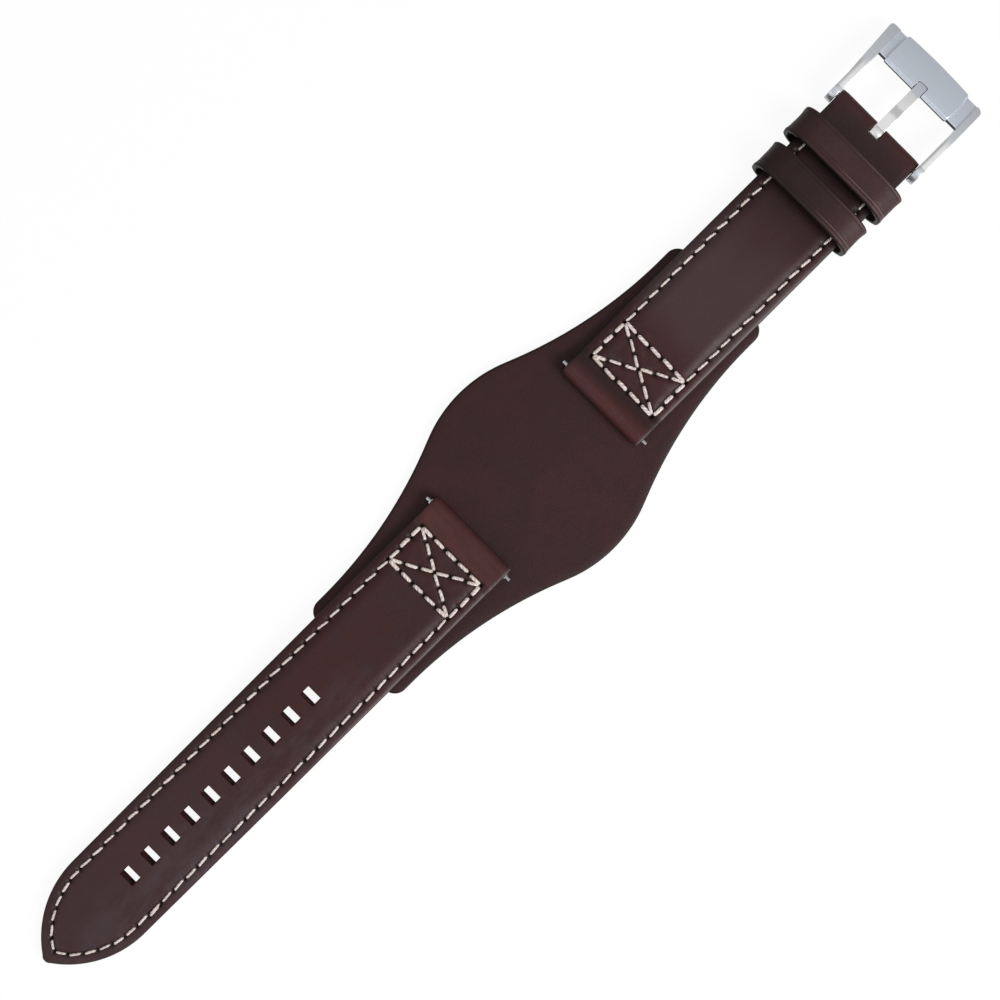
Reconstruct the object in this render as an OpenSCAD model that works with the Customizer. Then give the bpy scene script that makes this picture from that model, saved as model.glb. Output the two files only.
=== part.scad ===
// Leather cuff watch strap: a wide pad that lies under the watch, a long half with tongue holes,
// a short half with two keepers and a pin buckle, and three spring bars.
// The origin is the middle of the pad's underside; +X runs to the buckle and +Z away from the wrist.
// The leather bends at named lines, and the solids of each layer are parted there.

/* [Watch] */
// Gap between the watch's lugs
lug_w = 24; // [22:0.5:26]
// Distance between the axes of the two lug bars
bar_span = 43.2; // [40:0.2:45]

/* [Pad] */
// Length of the pad
pad_len = 118; // [112:1:122]
// Width across the pad's bulge
pad_w = 49.5; // [46:0.5:54]
// Width of the pad's two ends
pad_end_w = 28; // [26:0.5:32]
// Thickness of the pad
pad_t = 1.8; // [1.4:0.1:2.4]
// Radius of the bulge
bulge_r = 32.2; // [30:0.2:36]
// Straight run between the bulge and the waist
bulge_run = 2.9; // [0:0.1:6]
// Run at each end where the pad's edges are parallel
pad_end_run = 5.2; // [4:0.1:8]
// Radius of the pad's corners
pad_corner_r = 3.2; // [1:0.1:3.8]

/* [Leather] */
// Thickness of the grain leather
grain_t = 1.1; // [0.9:0.05:1.3]
// Thickness of the lining, and of the skived leather that is folded under
lining_t = 1; // [0.7:0.05:1.2]
// Strap thickness at its stitched borders
border_t = 2.8; // [2.6:0.05:3]
// Strap thickness in the middle, next to the box seams
crown_lug_t = 3.4; // [3.2:0.05:3.8]
// Strap thickness in the middle, at its far ends
crown_end_t = 3; // [2.9:0.05:3.2]
// Strap thickness under the box seams
box_t = 3.1; // [2.9:0.05:3.4]

/* [Long half] */
// Width at the lugs
long_w = 23.5; // [22:0.1:24]
// Width where the tip begins
tip_w = 23; // [21:0.1:24]
// Distance from the pad's middle to the tip
long_reach = 156.3; // [155:0.5:165]
// Radius of each side of the pointed tip
tip_side_r = 25.7; // [22:0.1:30]
// Width of the blunt end of the tip
tip_end_w = 1.6; // [1.2:0.1:2.4]
// Distance from the pad's middle to the nearest tongue hole
hole_start = 71.4; // [70.6:0.1:72]
// Distance between tongue holes
hole_pitch = 6.37; // [6.2:0.01:6.5]
// Number of tongue holes
hole_count = 10; // [5:1:10]
// Length of a tongue hole along the strap
hole_len = 2.6; // [2:0.1:3]
// Width of a tongue hole
hole_w = 3.8; // [3:0.1:5]

/* [Short half] */
// Width of the short half
short_w = 23.9; // [23:0.1:24]
// Distance from the pad's middle to the axis of the buckle bar
buckle_x = 107.2; // [106.6:0.1:110]
// Distance from the pad's middle to the line where the short half bends
short_bend_x = 63; // [61:0.5:65]

/* [Seams] */
// Distance from the leather's edge to the edge seam
seam_in = 2.4; // [2:0.1:3]
// Length of one edge stitch from hole to hole
stitch_pitch = 3.72; // [3:0.02:4.5]
// Thickness of the edge thread
thread_w = 0.6; // [0.4:0.05:0.8]
// Thickness of the heavier thread of the box seams
box_thread_w = 0.87; // [0.6:0.01:1]
// Distance from the pad's middle to the near side of a box seam
box_near_x = 26.9; // [26.7:0.1:28]
// Length of a box seam along the strap
box_len = 10.5; // [9:0.1:11]
// Height of a stitch above the leather
stitch_h = 0.35; // [0.2:0.05:0.5]

/* [Keepers] */
// Width of a keeper band along the strap
keeper_w = 7.2; // [6:0.1:7.6]
// Thickness of a keeper band
keeper_t = 1.2; // [0.9:0.05:1.4]
// Distance from the pad's middle to the near rim of the fixed keeper
fixed_keeper_x = 92.8; // [92.4:0.1:93.4]
// Width of the fixed keeper outside
fixed_keeper_w = 30.2; // [29.4:0.1:31]
// Distance from the pad's middle to the near rim of the free keeper at rest
free_keeper_x = 82.4; // [81:0.1:82.6]
// Width of the free keeper outside
free_keeper_w = 29.2; // [28.4:0.1:30.4]
// Outer radius of a keeper's corners
keeper_corner_r = 3.4; // [2.4:0.1:4]

/* [Buckle] */
// Play between the short half and each leg of the buckle
leg_play = 0.2; // [0.15:0.05:0.4]
// Thickness of a leg where the bar goes in
leg_t = 1.7; // [1.6:0.05:2.2]
// Extra thickness of a leg at its front end
leg_flare = 0.6; // [0.2:0.05:0.8]
// Length of a leg from the bar's axis to its front end
leg_len = 20.4; // [19.6:0.1:22]
// Height of a leg
leg_h = 3.5; // [3:0.1:4]
// Radius of a leg's round rear end
leg_end_r = 2.5; // [2.2:0.05:2.8]
// Radius of the arch that the buckle follows
arch_r = 50; // [40:1:70]
// Height of the arch above the bar's axis
arch_top = 3; // [2.8:0.1:3.4]
// Distance from the bar's axis to the top of the arch
arch_x = 9; // [8:0.1:10]
// Distance from the bar's axis to the rear edge of the front bar
front_x = 13; // [12.8:0.1:13.4]
// Width of the front bar along the strap
front_w = 6.9; // [6:0.1:7]
// Thickness of the front bar
front_t = 1.5; // [1.3:0.1:1.8]
// Length of the raised plate across the strap
plate_len = 19; // [16:0.1:20]
// Width of the raised plate along the strap
plate_w = 8.7; // [8:0.1:9]
// Height of the plate above the front bar
plate_rise = 0.6; // [0.3:0.05:0.8]
// Radius of the bowed front edge of the plate
plate_bow_r = 90; // [60:1:140]
// Width of the tongue
tongue_w = 2.6; // [2:0.1:2.8]
// Thickness of the tongue
tongue_t = 1; // [0.8:0.05:1.1]
// Length of the tongue from the bar's axis to its tip
tongue_len = 14.9; // [14.6:0.1:15.2]
// Height of the tongue's hump above the bar's axis
tongue_peak = 3.5; // [3.2:0.1:3.9]
// Wall of the ring by which the tongue turns on the bar
tongue_ring_t = 0.65; // [0.5:0.05:0.7]

/* [Spring bars] */
// Radius of a lug bar's tube
lug_bar_r = 0.9; // [0.8:0.05:0.95]
// Radius of the buckle bar's tube
buckle_bar_r = 0.75; // [0.7:0.05:0.8]
// Radius of the plunger tips
tip_r = 0.42; // [0.35:0.01:0.45]
// Length of a plunger tip beyond its shoulder
tip_len = 1.1; // [0.9:0.05:1.2]
// Travel of a plunger
plunger_travel = 1.2; // [1:0.05:1.3]
// Length of a plunger's shoulder
shoulder_len = 0.6; // [0.4:0.05:0.8]
// Wall of a bar's tube
tube_wall = 0.18; // [0.15:0.01:0.22]
// Radius of the spring wire
wire_r = 0.12; // [0.08:0.01:0.14]
// Number of turns in a bar's spring
spring_turns = 9; // [6:1:12]

/* [Clearances] */
// Gap between two leather solids where they bend
bend_gap = 0.1; // [0.05:0.01:0.2]
// Gap between a bar and the leather folded round it
fold_gap = 0.1; // [0.05:0.01:0.2]
// Radial gap of a turning or sliding fit
fit_gap = 0.05; // [0.03:0.01:0.08]
// Gap between the tongue and the sides of its slot and of its notch
tongue_gap = 0.2; // [0.1:0.05:0.3]
// Gap between the free keeper and the underside of the strap
keeper_gap = 0.3; // [0.2:0.05:0.4]
// Spare height in a keeper over both strap halves
keeper_play = 0.2; // [0.1:0.05:0.5]

/* [Hidden] */
$fn = 64;

// Where the leather bends, as distances from the pad's middle
pad_bend_x = 40;
long_bends = concat([pad_bend_x], [for (k = [-1.5, 2.5, 6.5, 10]) hole_start + k * hole_pitch]);
short_bends = [pad_bend_x, short_bend_x];

// How far each line bends, down round the wrist and back up, in degrees
pad_wrap = 30;
pad_back = 10;
strap_wrap = 40;
strap_back = 20;

// How far solids that are one piece run into one another
lap = 0.1;

// The leather folded round the bars
lug_bar_x = bar_span / 2;
lug_fold_r = lug_bar_r + fold_gap + grain_t;
buckle_fold_r = buckle_bar_r + fold_gap + grain_t;
fold_run = 4.4;
buckle_fold_run = 6.2;
sewn_under_x = fixed_keeper_x + keeper_w / 3;

// The padded profile across a strap
slope_w = 1.7;
seam_flat = 0.5;
edge_run = 0.4;
edge_drop = 0.3;
thread_valley = 0.08;
crown_run = 6;
least_step = 0.05;
least_row = 0.6;

// How far a seam stays away from the line where the leather bends
seam_stop = 0.6;

// The long half slopes down from the pad to the table between its second and third bends
slope_len = long_bends[2] - long_bends[1];
slope_angle = asin(pad_t / slope_len);
slope_shift = slope_len * (1 - cos(slope_angle));

// The pointed tip
tip_x = long_reach - sqrt(pow(tip_side_r, 2) - pow(tip_side_r - tip_w / 2 + tip_end_w / 2, 2));
tip_steps = 8;
tip_turn = asin((long_reach - tip_x) / tip_side_r);
tip_seam_r = tip_side_r - seam_in;
tip_seam_turn = acos((tip_side_r - tip_w / 2) / tip_seam_r);
tip_stitches = 6;
tip_thread_lift = 0.06;

// The keepers' openings
keeper_top = pad_t + 2 * crown_end_t + keeper_play;

// The buckle
leg_y = short_w / 2 + leg_play;
buckle_z = pad_t + buckle_fold_r;
leg_step = 0.35;
plate_r = arch_r + plate_rise - leg_step;
leg_low = -arch_height(arch_r - leg_h, leg_len);
buckle_tilt = asin(buckle_z / norm([leg_len, leg_low])) - atan2(leg_low, leg_len);
plate_back_x = front_x - 0.5;
notch_depth = tongue_t + 0.1;
notch_end_x = tongue_len + 0.1;
tongue_tip_z = arch_height(plate_r, tongue_len);
tongue_ring_r = buckle_bar_r + fit_gap + tongue_ring_t;
tongue_root_z = tongue_ring_r - tongue_ring_t / 2;
slot_back = tongue_ring_r + tongue_gap;
bar_hole_r = tip_r + fit_gap;
lug_bar_half = lug_w / 2;
buckle_bar_half = leg_y - fit_gap;

// Inside the spring bars
bar_lip = 0.5;
head_len = 1;
neck_r = 0.4;

grain_colour = [0.25, 0.16, 0.15];
lining_colour = [0.36, 0.24, 0.2];
filler_colour = [0.55, 0.43, 0.33];
thread_colour = [0.88, 0.83, 0.75];
steel_colour = [0.72, 0.75, 0.78];

// Height of the arch of a given radius over the bar's axis
function arch_height(r, x) = arch_top - arch_r + sqrt(pow(r, 2) - pow(x - arch_x, 2));

// A smooth rise from 0 to 1
function ease(t) = t <= 0 ? 0 : t >= 1 ? 1 : t * t * (3 - 2 * t);

function quad(a, b, c, d) = [[a, b, c], [a, c, d]];

// A closed solid between a lower and an upper grid of points, both with rows along the strap
module slab(low, high) {
    rows = len(low);
    cols = len(low[0]);
    last = cols - 1;
    function at(i, j, k) = (i * cols + j) * 2 + k;
    points = [for (i = [0:rows - 1]) for (j = [0:last]) for (grid = [low, high]) grid[i][j]];
    faces = concat(
        [for (i = [0:rows - 2]) for (j = [0:last - 1])
            each quad(at(i, j, 1), at(i, j + 1, 1), at(i + 1, j + 1, 1), at(i + 1, j, 1))],
        [for (i = [0:rows - 2]) for (j = [0:last - 1])
            each quad(at(i, j, 0), at(i + 1, j, 0), at(i + 1, j + 1, 0), at(i, j + 1, 0))],
        [for (i = [0:rows - 2]) each quad(at(i, 0, 0), at(i, 0, 1), at(i + 1, 0, 1), at(i + 1, 0, 0))],
        [for (i = [0:rows - 2])
            each quad(at(i, last, 0), at(i + 1, last, 0), at(i + 1, last, 1), at(i, last, 1))],
        [for (j = [0:last - 1]) each quad(at(0, j, 0), at(0, j + 1, 0), at(0, j + 1, 1), at(0, j, 1))],
        [for (j = [0:last - 1])
            each quad(at(rows - 1, j, 0), at(rows - 1, j, 1), at(rows - 1, j + 1, 1), at(rows - 1, j + 1, 0))]
    );
    polyhedron(points, faces, convexity = 4);
}

// The shapes of the two halves, by distance from the pad's middle
function half_width(long, x) = !long ? short_w / 2
    : x <= tip_x ? lookup(x, [[pad_bend_x, long_w / 2], [tip_x, tip_w / 2]])
    : sqrt(pow(tip_side_r, 2) - pow(x - tip_x, 2)) - tip_side_r + tip_w / 2;
function seam_y(long, x) = x <= tip_x || !long ? half_width(long, x) - seam_in
    : x - tip_x >= tip_seam_r ? 0
    : max(0, sqrt(pow(tip_seam_r, 2) - pow(x - tip_x, 2)) - tip_side_r + tip_w / 2);
function crown(long, x) = lookup(x, [
    [pad_bend_x, box_t],
    [pad_bend_x + crown_run, crown_lug_t],
    [long ? tip_x : fixed_keeper_x, crown_end_t]
]);

// Points across the strap, from the edge to the middle and out again
function across(long, x) = let (
    w = half_width(long, x),
    flat_y = seam_y(long, x) + seam_flat,
    steps = [slope_w + 2 * seam_flat, slope_w / 2 + 2 * seam_flat, 2 * seam_flat, 0],
    inner = [for (n = [0:3]) max(flat_y - steps[n], least_step * (n + 1))],
    side = concat(inner, [max(w - edge_run, inner[3] + least_step), w])
) concat([for (n = [5:-1:0]) -side[n]], [0], side);

// The four levels of a strap: under the lining, over it, under the grain leather and over it
function outside(long, x, y) = border_t
    + (crown(long, x) - border_t) * ease((seam_y(long, x) - seam_flat - abs(y)) / slope_w);
function level(n, long, x, y) = n == 0 ? 0
    : n == 1 ? lining_t
    : n == 2 ? outside(long, x, y) - grain_t
    : outside(long, x, y) - edge_drop * ease(1 - (half_width(long, x) - abs(y)) / edge_run);

// The end of a solid beside a bend, which leans away from its neighbour above and below the pivot
function bend_end(x, z, side, pivot, wrap, back) =
    x + side * (bend_gap / 2 + (z > pivot ? (z - pivot) * tan(back / 2) : (pivot - z) * tan(wrap / 2)));
function strap_end(x, z, side) = x == pad_bend_x ? bend_end(x, z, side, 0, pad_wrap, pad_back)
    : bend_end(x, z, side, lining_t, strap_wrap, strap_back);

function rows_between(long, a, b) = concat([a],
    [for (x = concat([pad_bend_x + crown_run],
        long ? [for (k = [0:tip_steps - 1]) tip_x + tip_side_r * sin(k * tip_turn / tip_steps)] : []))
        if (x > a + least_row && x < b - least_row) x],
    [b]);

// One layer of a strap section from distance a to distance b
module layer(n, long, a, b, open_end = false) {
    rows = rows_between(long, a, b);
    function grid(level_n) = [for (i = [0:len(rows) - 1]) let (x = rows[i]) [for (y = across(long, x))
        let (z = level(level_n, long, x, y))
        [i == 0 ? strap_end(a, z, 1) : i == len(rows) - 1 && !open_end ? strap_end(b, z, -1) : x, y, z]]];
    slab(grid(n), grid(n + 1));
}

module tongue_holes(a, b) {
    for (k = [0:hole_count - 1])
        let (x = hole_start + k * hole_pitch)
            if (x > a && x < b)
                translate([x - hole_len / 2, -hole_w / 2, -1]) cube([hole_len, hole_w, crown_lug_t + 2]);
}

// A run of stitches from one point to another, as one thread that dips between its stitches
module seam(p, q, count, w) {
    run = norm(q - p);
    step = run / count;
    turn = atan2(q[1] - p[1], q[0] - p[0]);
    hump = [[0.1, thread_valley], [0.22, stitch_h], [0.78, stitch_h], [0.9, thread_valley]];
    side = concat([[0, 0], [0, thread_valley]],
        [for (k = [0:count - 1]) for (h = hump) [(k + h[0]) * step, h[1]]],
        [[run, thread_valley], [run, 0]]);
    translate([p[0], p[1], 0]) rotate([0, 0, turn]) rotate([90, 0, 0])
        linear_extrude(w, center = true) polygon(side);
}

module edge_seams(long, a, b) {
    count = round((b - a) / stitch_pitch);
    for (side = [-1, 1])
        translate([0, 0, border_t])
            seam([a, side * seam_y(long, a)], [b, side * seam_y(long, b)], count, thread_w);
}

module tip_seam() {
    function corner(k, side) = let (turn = k * tip_seam_turn / tip_stitches)
        [tip_x + tip_seam_r * sin(turn), side * (tip_seam_r * cos(turn) - tip_side_r + tip_w / 2)];
    translate([0, 0, border_t + tip_thread_lift])
        for (side = [-1, 1]) for (k = [0:tip_stitches - 1])
            seam(corner(k, side), corner(k + 1, side), 1, thread_w);
}

// The square box seam with its cross, and the short start of the edge seams behind it
module box_seam(strap_w) {
    y = strap_w / 2 - seam_in;
    far_x = box_near_x + box_len;
    color(thread_colour) translate([0, 0, box_t]) {
        for (x = [box_near_x, far_x]) seam([x, -y], [x, y], 5, box_thread_w);
        for (side = [-1, 1]) {
            seam([box_near_x, side * y], [far_x, side * y], 3, box_thread_w);
            seam([box_near_x, -side * y], [far_x, side * y], 6, box_thread_w);
            seam([far_x, side * y], [pad_bend_x - seam_stop, side * y], 1, thread_w);
        }
    }
}

// Leather folded round a bar that runs through the origin: a band round the bar, a top that leads
// down to the strap's surface at [run, rise], and a skived tail below
module fold(r_out, w, run, rise, top_end, tail_end) {
    r_in = r_out - grain_t;
    lean = asin(r_out / norm([run, rise])) - atan2(rise, run);
    leave = [sin(lean), cos(lean)];
    far = 3 * r_out;
    rotate([90, 0, 0]) {
        difference() {
            cylinder(r = r_out, h = w, center = true);
            cylinder(r = r_in, h = w + 2, center = true);
            linear_extrude(w + 2, center = true)
                polygon([[0, 0], leave * far, [far, far], [far, -far], [0, -far]]);
        }
        linear_extrude(w, center = true) {
            polygon(concat([leave * r_out, [run, rise]], top_end, [[run, rise - grain_t], leave * r_in]));
            polygon(concat([[0, -r_out], [0, lining_t - r_out]], tail_end));
        }
    }
}

// The grain leather of a half where it is folded round a lug bar and sewn through the box seam
module lug_leather(strap_w) {
    function end_at(z) = [strap_end(pad_bend_x, z, -1) - lug_bar_x, z - lug_fold_r];
    color(grain_colour) translate([lug_bar_x, 0, lug_fold_r])
        fold(lug_fold_r, strap_w, fold_run, box_t - lug_fold_r,
            [end_at(box_t), end_at(box_t - grain_t)], [end_at(lining_t), end_at(0)]);
}

module lug_filler(strap_w) {
    function end_at(z) = [strap_end(pad_bend_x, z, -1), z];
    start = lug_bar_x + fold_run;
    color(filler_colour) rotate([90, 0, 0]) linear_extrude(strap_w, center = true)
        polygon([[start, lining_t], end_at(lining_t), end_at(box_t - grain_t), [start, box_t - grain_t]]);
}

// The short half's grain leather from under the fixed keeper to the buckle bar and back below
module buckle_fold() {
    start = buckle_x - short_stop(2) + lap;
    tail = buckle_x - sewn_under_x;
    rise = crown_end_t - buckle_fold_r;
    translate([buckle_x, 0, buckle_fold_r]) mirror([1, 0, 0])
        difference() {
            fold(buckle_fold_r, short_w, buckle_fold_run, rise,
                [[start, rise], [start, rise - grain_t]],
                [[tail, lining_t - buckle_fold_r], [tail, -buckle_fold_r]]);
            translate([-buckle_fold_r - 1, -tongue_w / 2 - tongue_gap, -buckle_fold_r - 1])
                cube([buckle_fold_r + 1 + slot_back, tongue_w + 2 * tongue_gap, 3 * buckle_fold_r]);
        }
}

// Places of the straps over the pad, on the slope beside it and on the table
module on_pad() {
    translate([0, 0, pad_t]) children();
}

module on_slope() {
    translate([long_bends[1], 0, pad_t + lining_t]) rotate([0, slope_angle, 0])
        translate([-long_bends[1], 0, -lining_t]) children();
}

module on_table() {
    translate([-slope_shift, 0, 0]) children();
}

// The long half lies along -X, and its sections are drawn along +X
module long_section(n) {
    rotate([0, 0, 180]) {
        if (n <= 1) on_pad() children();
        if (n == 2) on_slope() children();
        if (n >= 3) on_table() children();
    }
}

function long_start(n) = long_bends[n - 1];
function long_stop(n) = n < 5 ? long_bends[n] : long_reach;

module long_layer(n, which, tint) {
    color(tint) long_section(n) difference() {
        layer(which, true, long_start(n), long_stop(n), n == 5);
        tongue_holes(long_start(n), long_stop(n));
    }
}

module long_thread(n) {
    color(thread_colour) long_section(n) {
        if (n < 5) edge_seams(true, long_start(n) + seam_stop, long_stop(n) - seam_stop);
        else tip_seam();
    }
}

function short_stop(n) = n < 2 ? short_bends[n] : fixed_keeper_x + keeper_w / 2;

module short_leather(n) {
    color(grain_colour) on_pad() {
        layer(2, false, short_bends[n - 1], short_stop(n), n == 2);
        if (n == 2) buckle_fold();
    }
}

module short_filler(n) {
    color(filler_colour) on_pad() {
        layer(1, false, short_bends[n - 1], short_stop(n), n == 2);
        if (n == 2) {
            stop = buckle_x - buckle_fold_run;
            translate([short_stop(n), -short_w / 2, lining_t])
                cube([stop - short_stop(n), short_w, crown_end_t - grain_t - lining_t]);
        }
    }
}

module short_lining(n) {
    color(lining_colour) on_pad()
        layer(0, false, short_bends[n - 1], n < 2 ? short_stop(n) : sewn_under_x - bend_gap, n == 2);
}

module short_thread(n) {
    stop = n < 2 ? short_stop(n) - seam_stop : sewn_under_x;
    color(thread_colour) on_pad() edge_seams(false, short_bends[n - 1] + seam_stop, stop);
}

// Points on an arc, with its angles measured from +Y towards +X
function arc(centre, r, from, to, steps) =
    [for (k = [0:steps]) let (a = from + (to - from) * k / steps) centre + r * [sin(a), cos(a)]];

// The pad's outline, a bulge that runs into a waist on each side
module pad_outline() {
    end_y = pad_end_w / 2;
    bulge_y = pad_w / 2 - bulge_r;
    end_x = pad_len / 2 - pad_end_run;
    rise = end_y - bulge_y;
    waist_r = (pow(end_x, 2) + pow(rise, 2) - pow(bulge_r, 2) - pow(bulge_run, 2)) / (2 * (bulge_r - rise));
    turn = atan2(end_x, rise + waist_r) - atan2(bulge_run, bulge_r + waist_r);
    quarter = concat(
        arc([0, bulge_y], bulge_r, 0, turn, 12),
        arc([end_x, end_y + waist_r], -waist_r, turn, 0, 20),
        arc([pad_len / 2 - pad_corner_r, end_y - pad_corner_r], pad_corner_r, 0, 90, 10)
    );
    half = concat(quarter, [for (k = [len(quarter) - 1:-1:0]) [quarter[k][0], -quarter[k][1]]]);
    polygon(concat(half, [for (k = [len(half) - 2:-1:1]) [-half[k][0], half[k][1]]]));
}

// The part of the pad between two distances along X, with leaning ends at its bend lines
module pad_between(a, b) {
    function end_at(x, side, z) = abs(x) > pad_bend_x ? [x, z]
        : [sign(x) * bend_end(abs(x), z, side * sign(x), pad_t, pad_wrap, pad_back), z];
    color(grain_colour) intersection() {
        linear_extrude(pad_t) pad_outline();
        rotate([90, 0, 0]) linear_extrude(2 * pad_w, center = true)
            polygon([end_at(a, 1, 0), end_at(b, -1, 0), end_at(b, -1, pad_t), end_at(a, 1, pad_t)]);
    }
}

module round_box(size, r) {
    square([size[0] - 2 * r, size[1]], center = true);
    square([size[0], size[1] - 2 * r], center = true);
    for (x = [-1, 1]) for (y = [-1, 1])
        translate([x * (size[0] / 2 - r), y * (size[1] / 2 - r)]) circle(r);
}

// A leather band round the short half, from x along the strap
module keeper(x, outer_w, inner_low) {
    inner_h = keeper_top - inner_low;
    color(grain_colour) translate([x, 0, inner_low + inner_h / 2]) rotate([90, 0, 90])
        linear_extrude(keeper_w) difference() {
            round_box([outer_w, inner_h + 2 * keeper_t], keeper_corner_r);
            round_box([outer_w - 2 * keeper_t, inner_h], keeper_corner_r - keeper_t);
        }
}

// Moves the buckle's own frame, with the bar's axis as its origin, to its place at rest
module at_buckle() {
    translate([buckle_x, 0, buckle_z]) rotate([0, buckle_tilt, 0]) children();
}

// A slice of the arch that the buckle follows, between two radii
module arch_band(r_out, thickness, w) {
    translate([arch_x, 0, arch_top - arch_r]) rotate([90, 0, 0]) difference() {
        cylinder(r = r_out, h = w, center = true, $fn = 180);
        cylinder(r = r_out - thickness, h = w + 2, center = true, $fn = 180);
    }
}

module leg_plan() {
    front_y = leg_y + leg_t + leg_flare;
    round_r = (leg_t + leg_flare) / 2 - 0.1;
    polygon([[-leg_end_r - 1, leg_y], [leg_len - round_r, leg_y], [leg_len - round_r, front_y],
        [-leg_end_r - 1, leg_y + leg_t]]);
    translate([leg_len - round_r, front_y - round_r]) circle(round_r);
}

module leg() {
    intersection() {
        translate([0, 0, -arch_r]) linear_extrude(2 * arch_r) leg_plan();
        union() {
            rotate([90, 0, 0]) cylinder(r = leg_end_r, h = 2 * lug_w, center = true);
            intersection() {
                arch_band(arch_r, leg_h, 2 * lug_w);
                translate([0, -lug_w, -leg_h - 1]) cube([leg_len + 1, 2 * lug_w, 2 * leg_h + 2]);
            }
        }
    }
}

module plate() {
    intersection() {
        arch_band(plate_r, front_t + plate_rise, 2 * lug_w);
        translate([plate_back_x + plate_w / 2, 0, 0]) linear_extrude(2 * leg_h) intersection() {
            round_box([plate_w, plate_len], 1);
            translate([plate_w / 2 - plate_bow_r, 0]) circle(plate_bow_r, $fn = 360);
        }
    }
}

module buckle_frame() {
    color(steel_colour) at_buckle() difference() {
        union() {
            for (side = [0, 1]) mirror([0, side, 0]) leg();
            intersection() {
                arch_band(arch_r - leg_step, front_t, 2 * lug_w);
                translate([front_x, -leg_y - leg_t / 2, 0]) cube([front_w, 2 * leg_y + leg_t, 2 * leg_h]);
            }
            plate();
        }
        for (side = [-1, 1]) rotate([side * 90, 0, 0])
            translate([0, 0, leg_y - 1]) cylinder(r = bar_hole_r, h = tip_len + 1.2);
        translate([plate_back_x - 1, -tongue_w / 2 - tongue_gap, tongue_tip_z - notch_depth])
            cube([notch_end_x - plate_back_x + 1, tongue_w + 2 * tongue_gap, 2 * leg_h]);
    }
}

// The tongue's upper outline rises from within its ring over the hump and down into the notch
function tongue_top(x) = x < arch_x
    ? tongue_root_z + (tongue_peak - tongue_root_z) * ease(x / arch_x)
    : tongue_peak + (tongue_tip_z - tongue_peak) * ease((x - arch_x) / (plate_back_x - arch_x + 0.6));

module buckle_tongue() {
    steps = 18;
    xs = [for (k = [0:steps]) k * tongue_len / steps];
    color(steel_colour) at_buckle() rotate([90, 0, 0]) difference() {
        union() {
            cylinder(r = tongue_ring_r, h = tongue_w, center = true);
            linear_extrude(tongue_w, center = true)
                polygon(concat([for (x = xs) [x, tongue_top(x)]],
                    [for (k = [steps:-1:0]) [xs[k], tongue_top(xs[k]) - tongue_t]]));
        }
        cylinder(r = buckle_bar_r + fit_gap, h = tongue_w + 2, center = true);
    }
}

// A spring bar along Y: half is the distance from its middle to the faces that it springs between
function tube_half(half) = half - shoulder_len - plunger_travel - lap;
function bore_r(r) = r - tube_wall;
function head_y(half) = tube_half(half) - bar_lip - fit_gap;

module bar_tube(r, half) {
    color(steel_colour) rotate([90, 0, 0]) difference() {
        cylinder(r = r, h = 2 * tube_half(half), center = true);
        cylinder(r = bore_r(r), h = 2 * (tube_half(half) - bar_lip), center = true);
        cylinder(r = neck_r + fit_gap, h = 2 * tube_half(half) + 2, center = true);
    }
}

module bar_plunger(r, half, side) {
    color(steel_colour) rotate([-side * 90, 0, 0]) {
        translate([0, 0, head_y(half) - head_len]) cylinder(r = bore_r(r) - fit_gap, h = head_len);
        translate([0, 0, head_y(half) - head_len / 2]) cylinder(r = neck_r, h = half - head_y(half));
        translate([0, 0, half - shoulder_len]) cylinder(r = r - fit_gap, h = shoulder_len);
        translate([0, 0, half - lap]) cylinder(r = tip_r, h = tip_len + lap);
    }
}

// A coil of wire as one swept tube
module bar_spring(r, half) {
    sides = 6;
    rings_per_turn = 8;
    rings = spring_turns * rings_per_turn;
    coil_r = bore_r(r) - fit_gap - wire_r;
    reach = head_y(half) - head_len - wire_r - fit_gap;
    turn = 360 / rings_per_turn;
    function centre(k) = [coil_r * cos(k * turn), 2 * reach * k / rings - reach, coil_r * sin(k * turn)];
    function ring(k) = let (
        outward = [cos(k * turn), 0, sin(k * turn)],
        pace = coil_r * 2 * PI / rings_per_turn,
        along = [-sin(k * turn) * pace, 2 * reach / rings, cos(k * turn) * pace],
        across = cross(outward, along) / norm(along)
    ) [for (s = [0:sides - 1]) let (a = s * 360 / sides)
        centre(k) + wire_r * (cos(a) * outward + sin(a) * across)];
    points = [for (k = [0:rings]) each ring(k)];
    function at(k, s) = k * sides + s % sides;
    faces = concat(
        [[for (s = [0:sides - 1]) at(0, s)]],
        [for (k = [0:rings - 1]) for (s = [0:sides - 1])
            each quad(at(k, s), at(k + 1, s), at(k + 1, s + 1), at(k, s + 1))],
        [[for (s = [sides - 1:-1:0]) at(rings, s)]]
    );
    color(steel_colour) polyhedron(points, faces, convexity = 8);
}

// The places of the three bars
module bar_place(bar) {
    if (bar == "long_lug") translate([-lug_bar_x, 0, pad_t + lug_fold_r]) children();
    if (bar == "short_lug") translate([lug_bar_x, 0, pad_t + lug_fold_r]) children();
    if (bar == "buckle") translate([buckle_x, 0, buckle_z]) children();
}

module spring_bar(bar, piece) {
    r = bar == "buckle" ? buckle_bar_r : lug_bar_r;
    half = bar == "buckle" ? buckle_bar_half : lug_bar_half;
    bar_place(bar) {
        if (piece == "tube") bar_tube(r, half);
        if (piece == "plunger_left") bar_plunger(r, half, 1);
        if (piece == "plunger_right") bar_plunger(r, half, -1);
        if (piece == "spring") bar_spring(r, half);
    }
}

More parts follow.
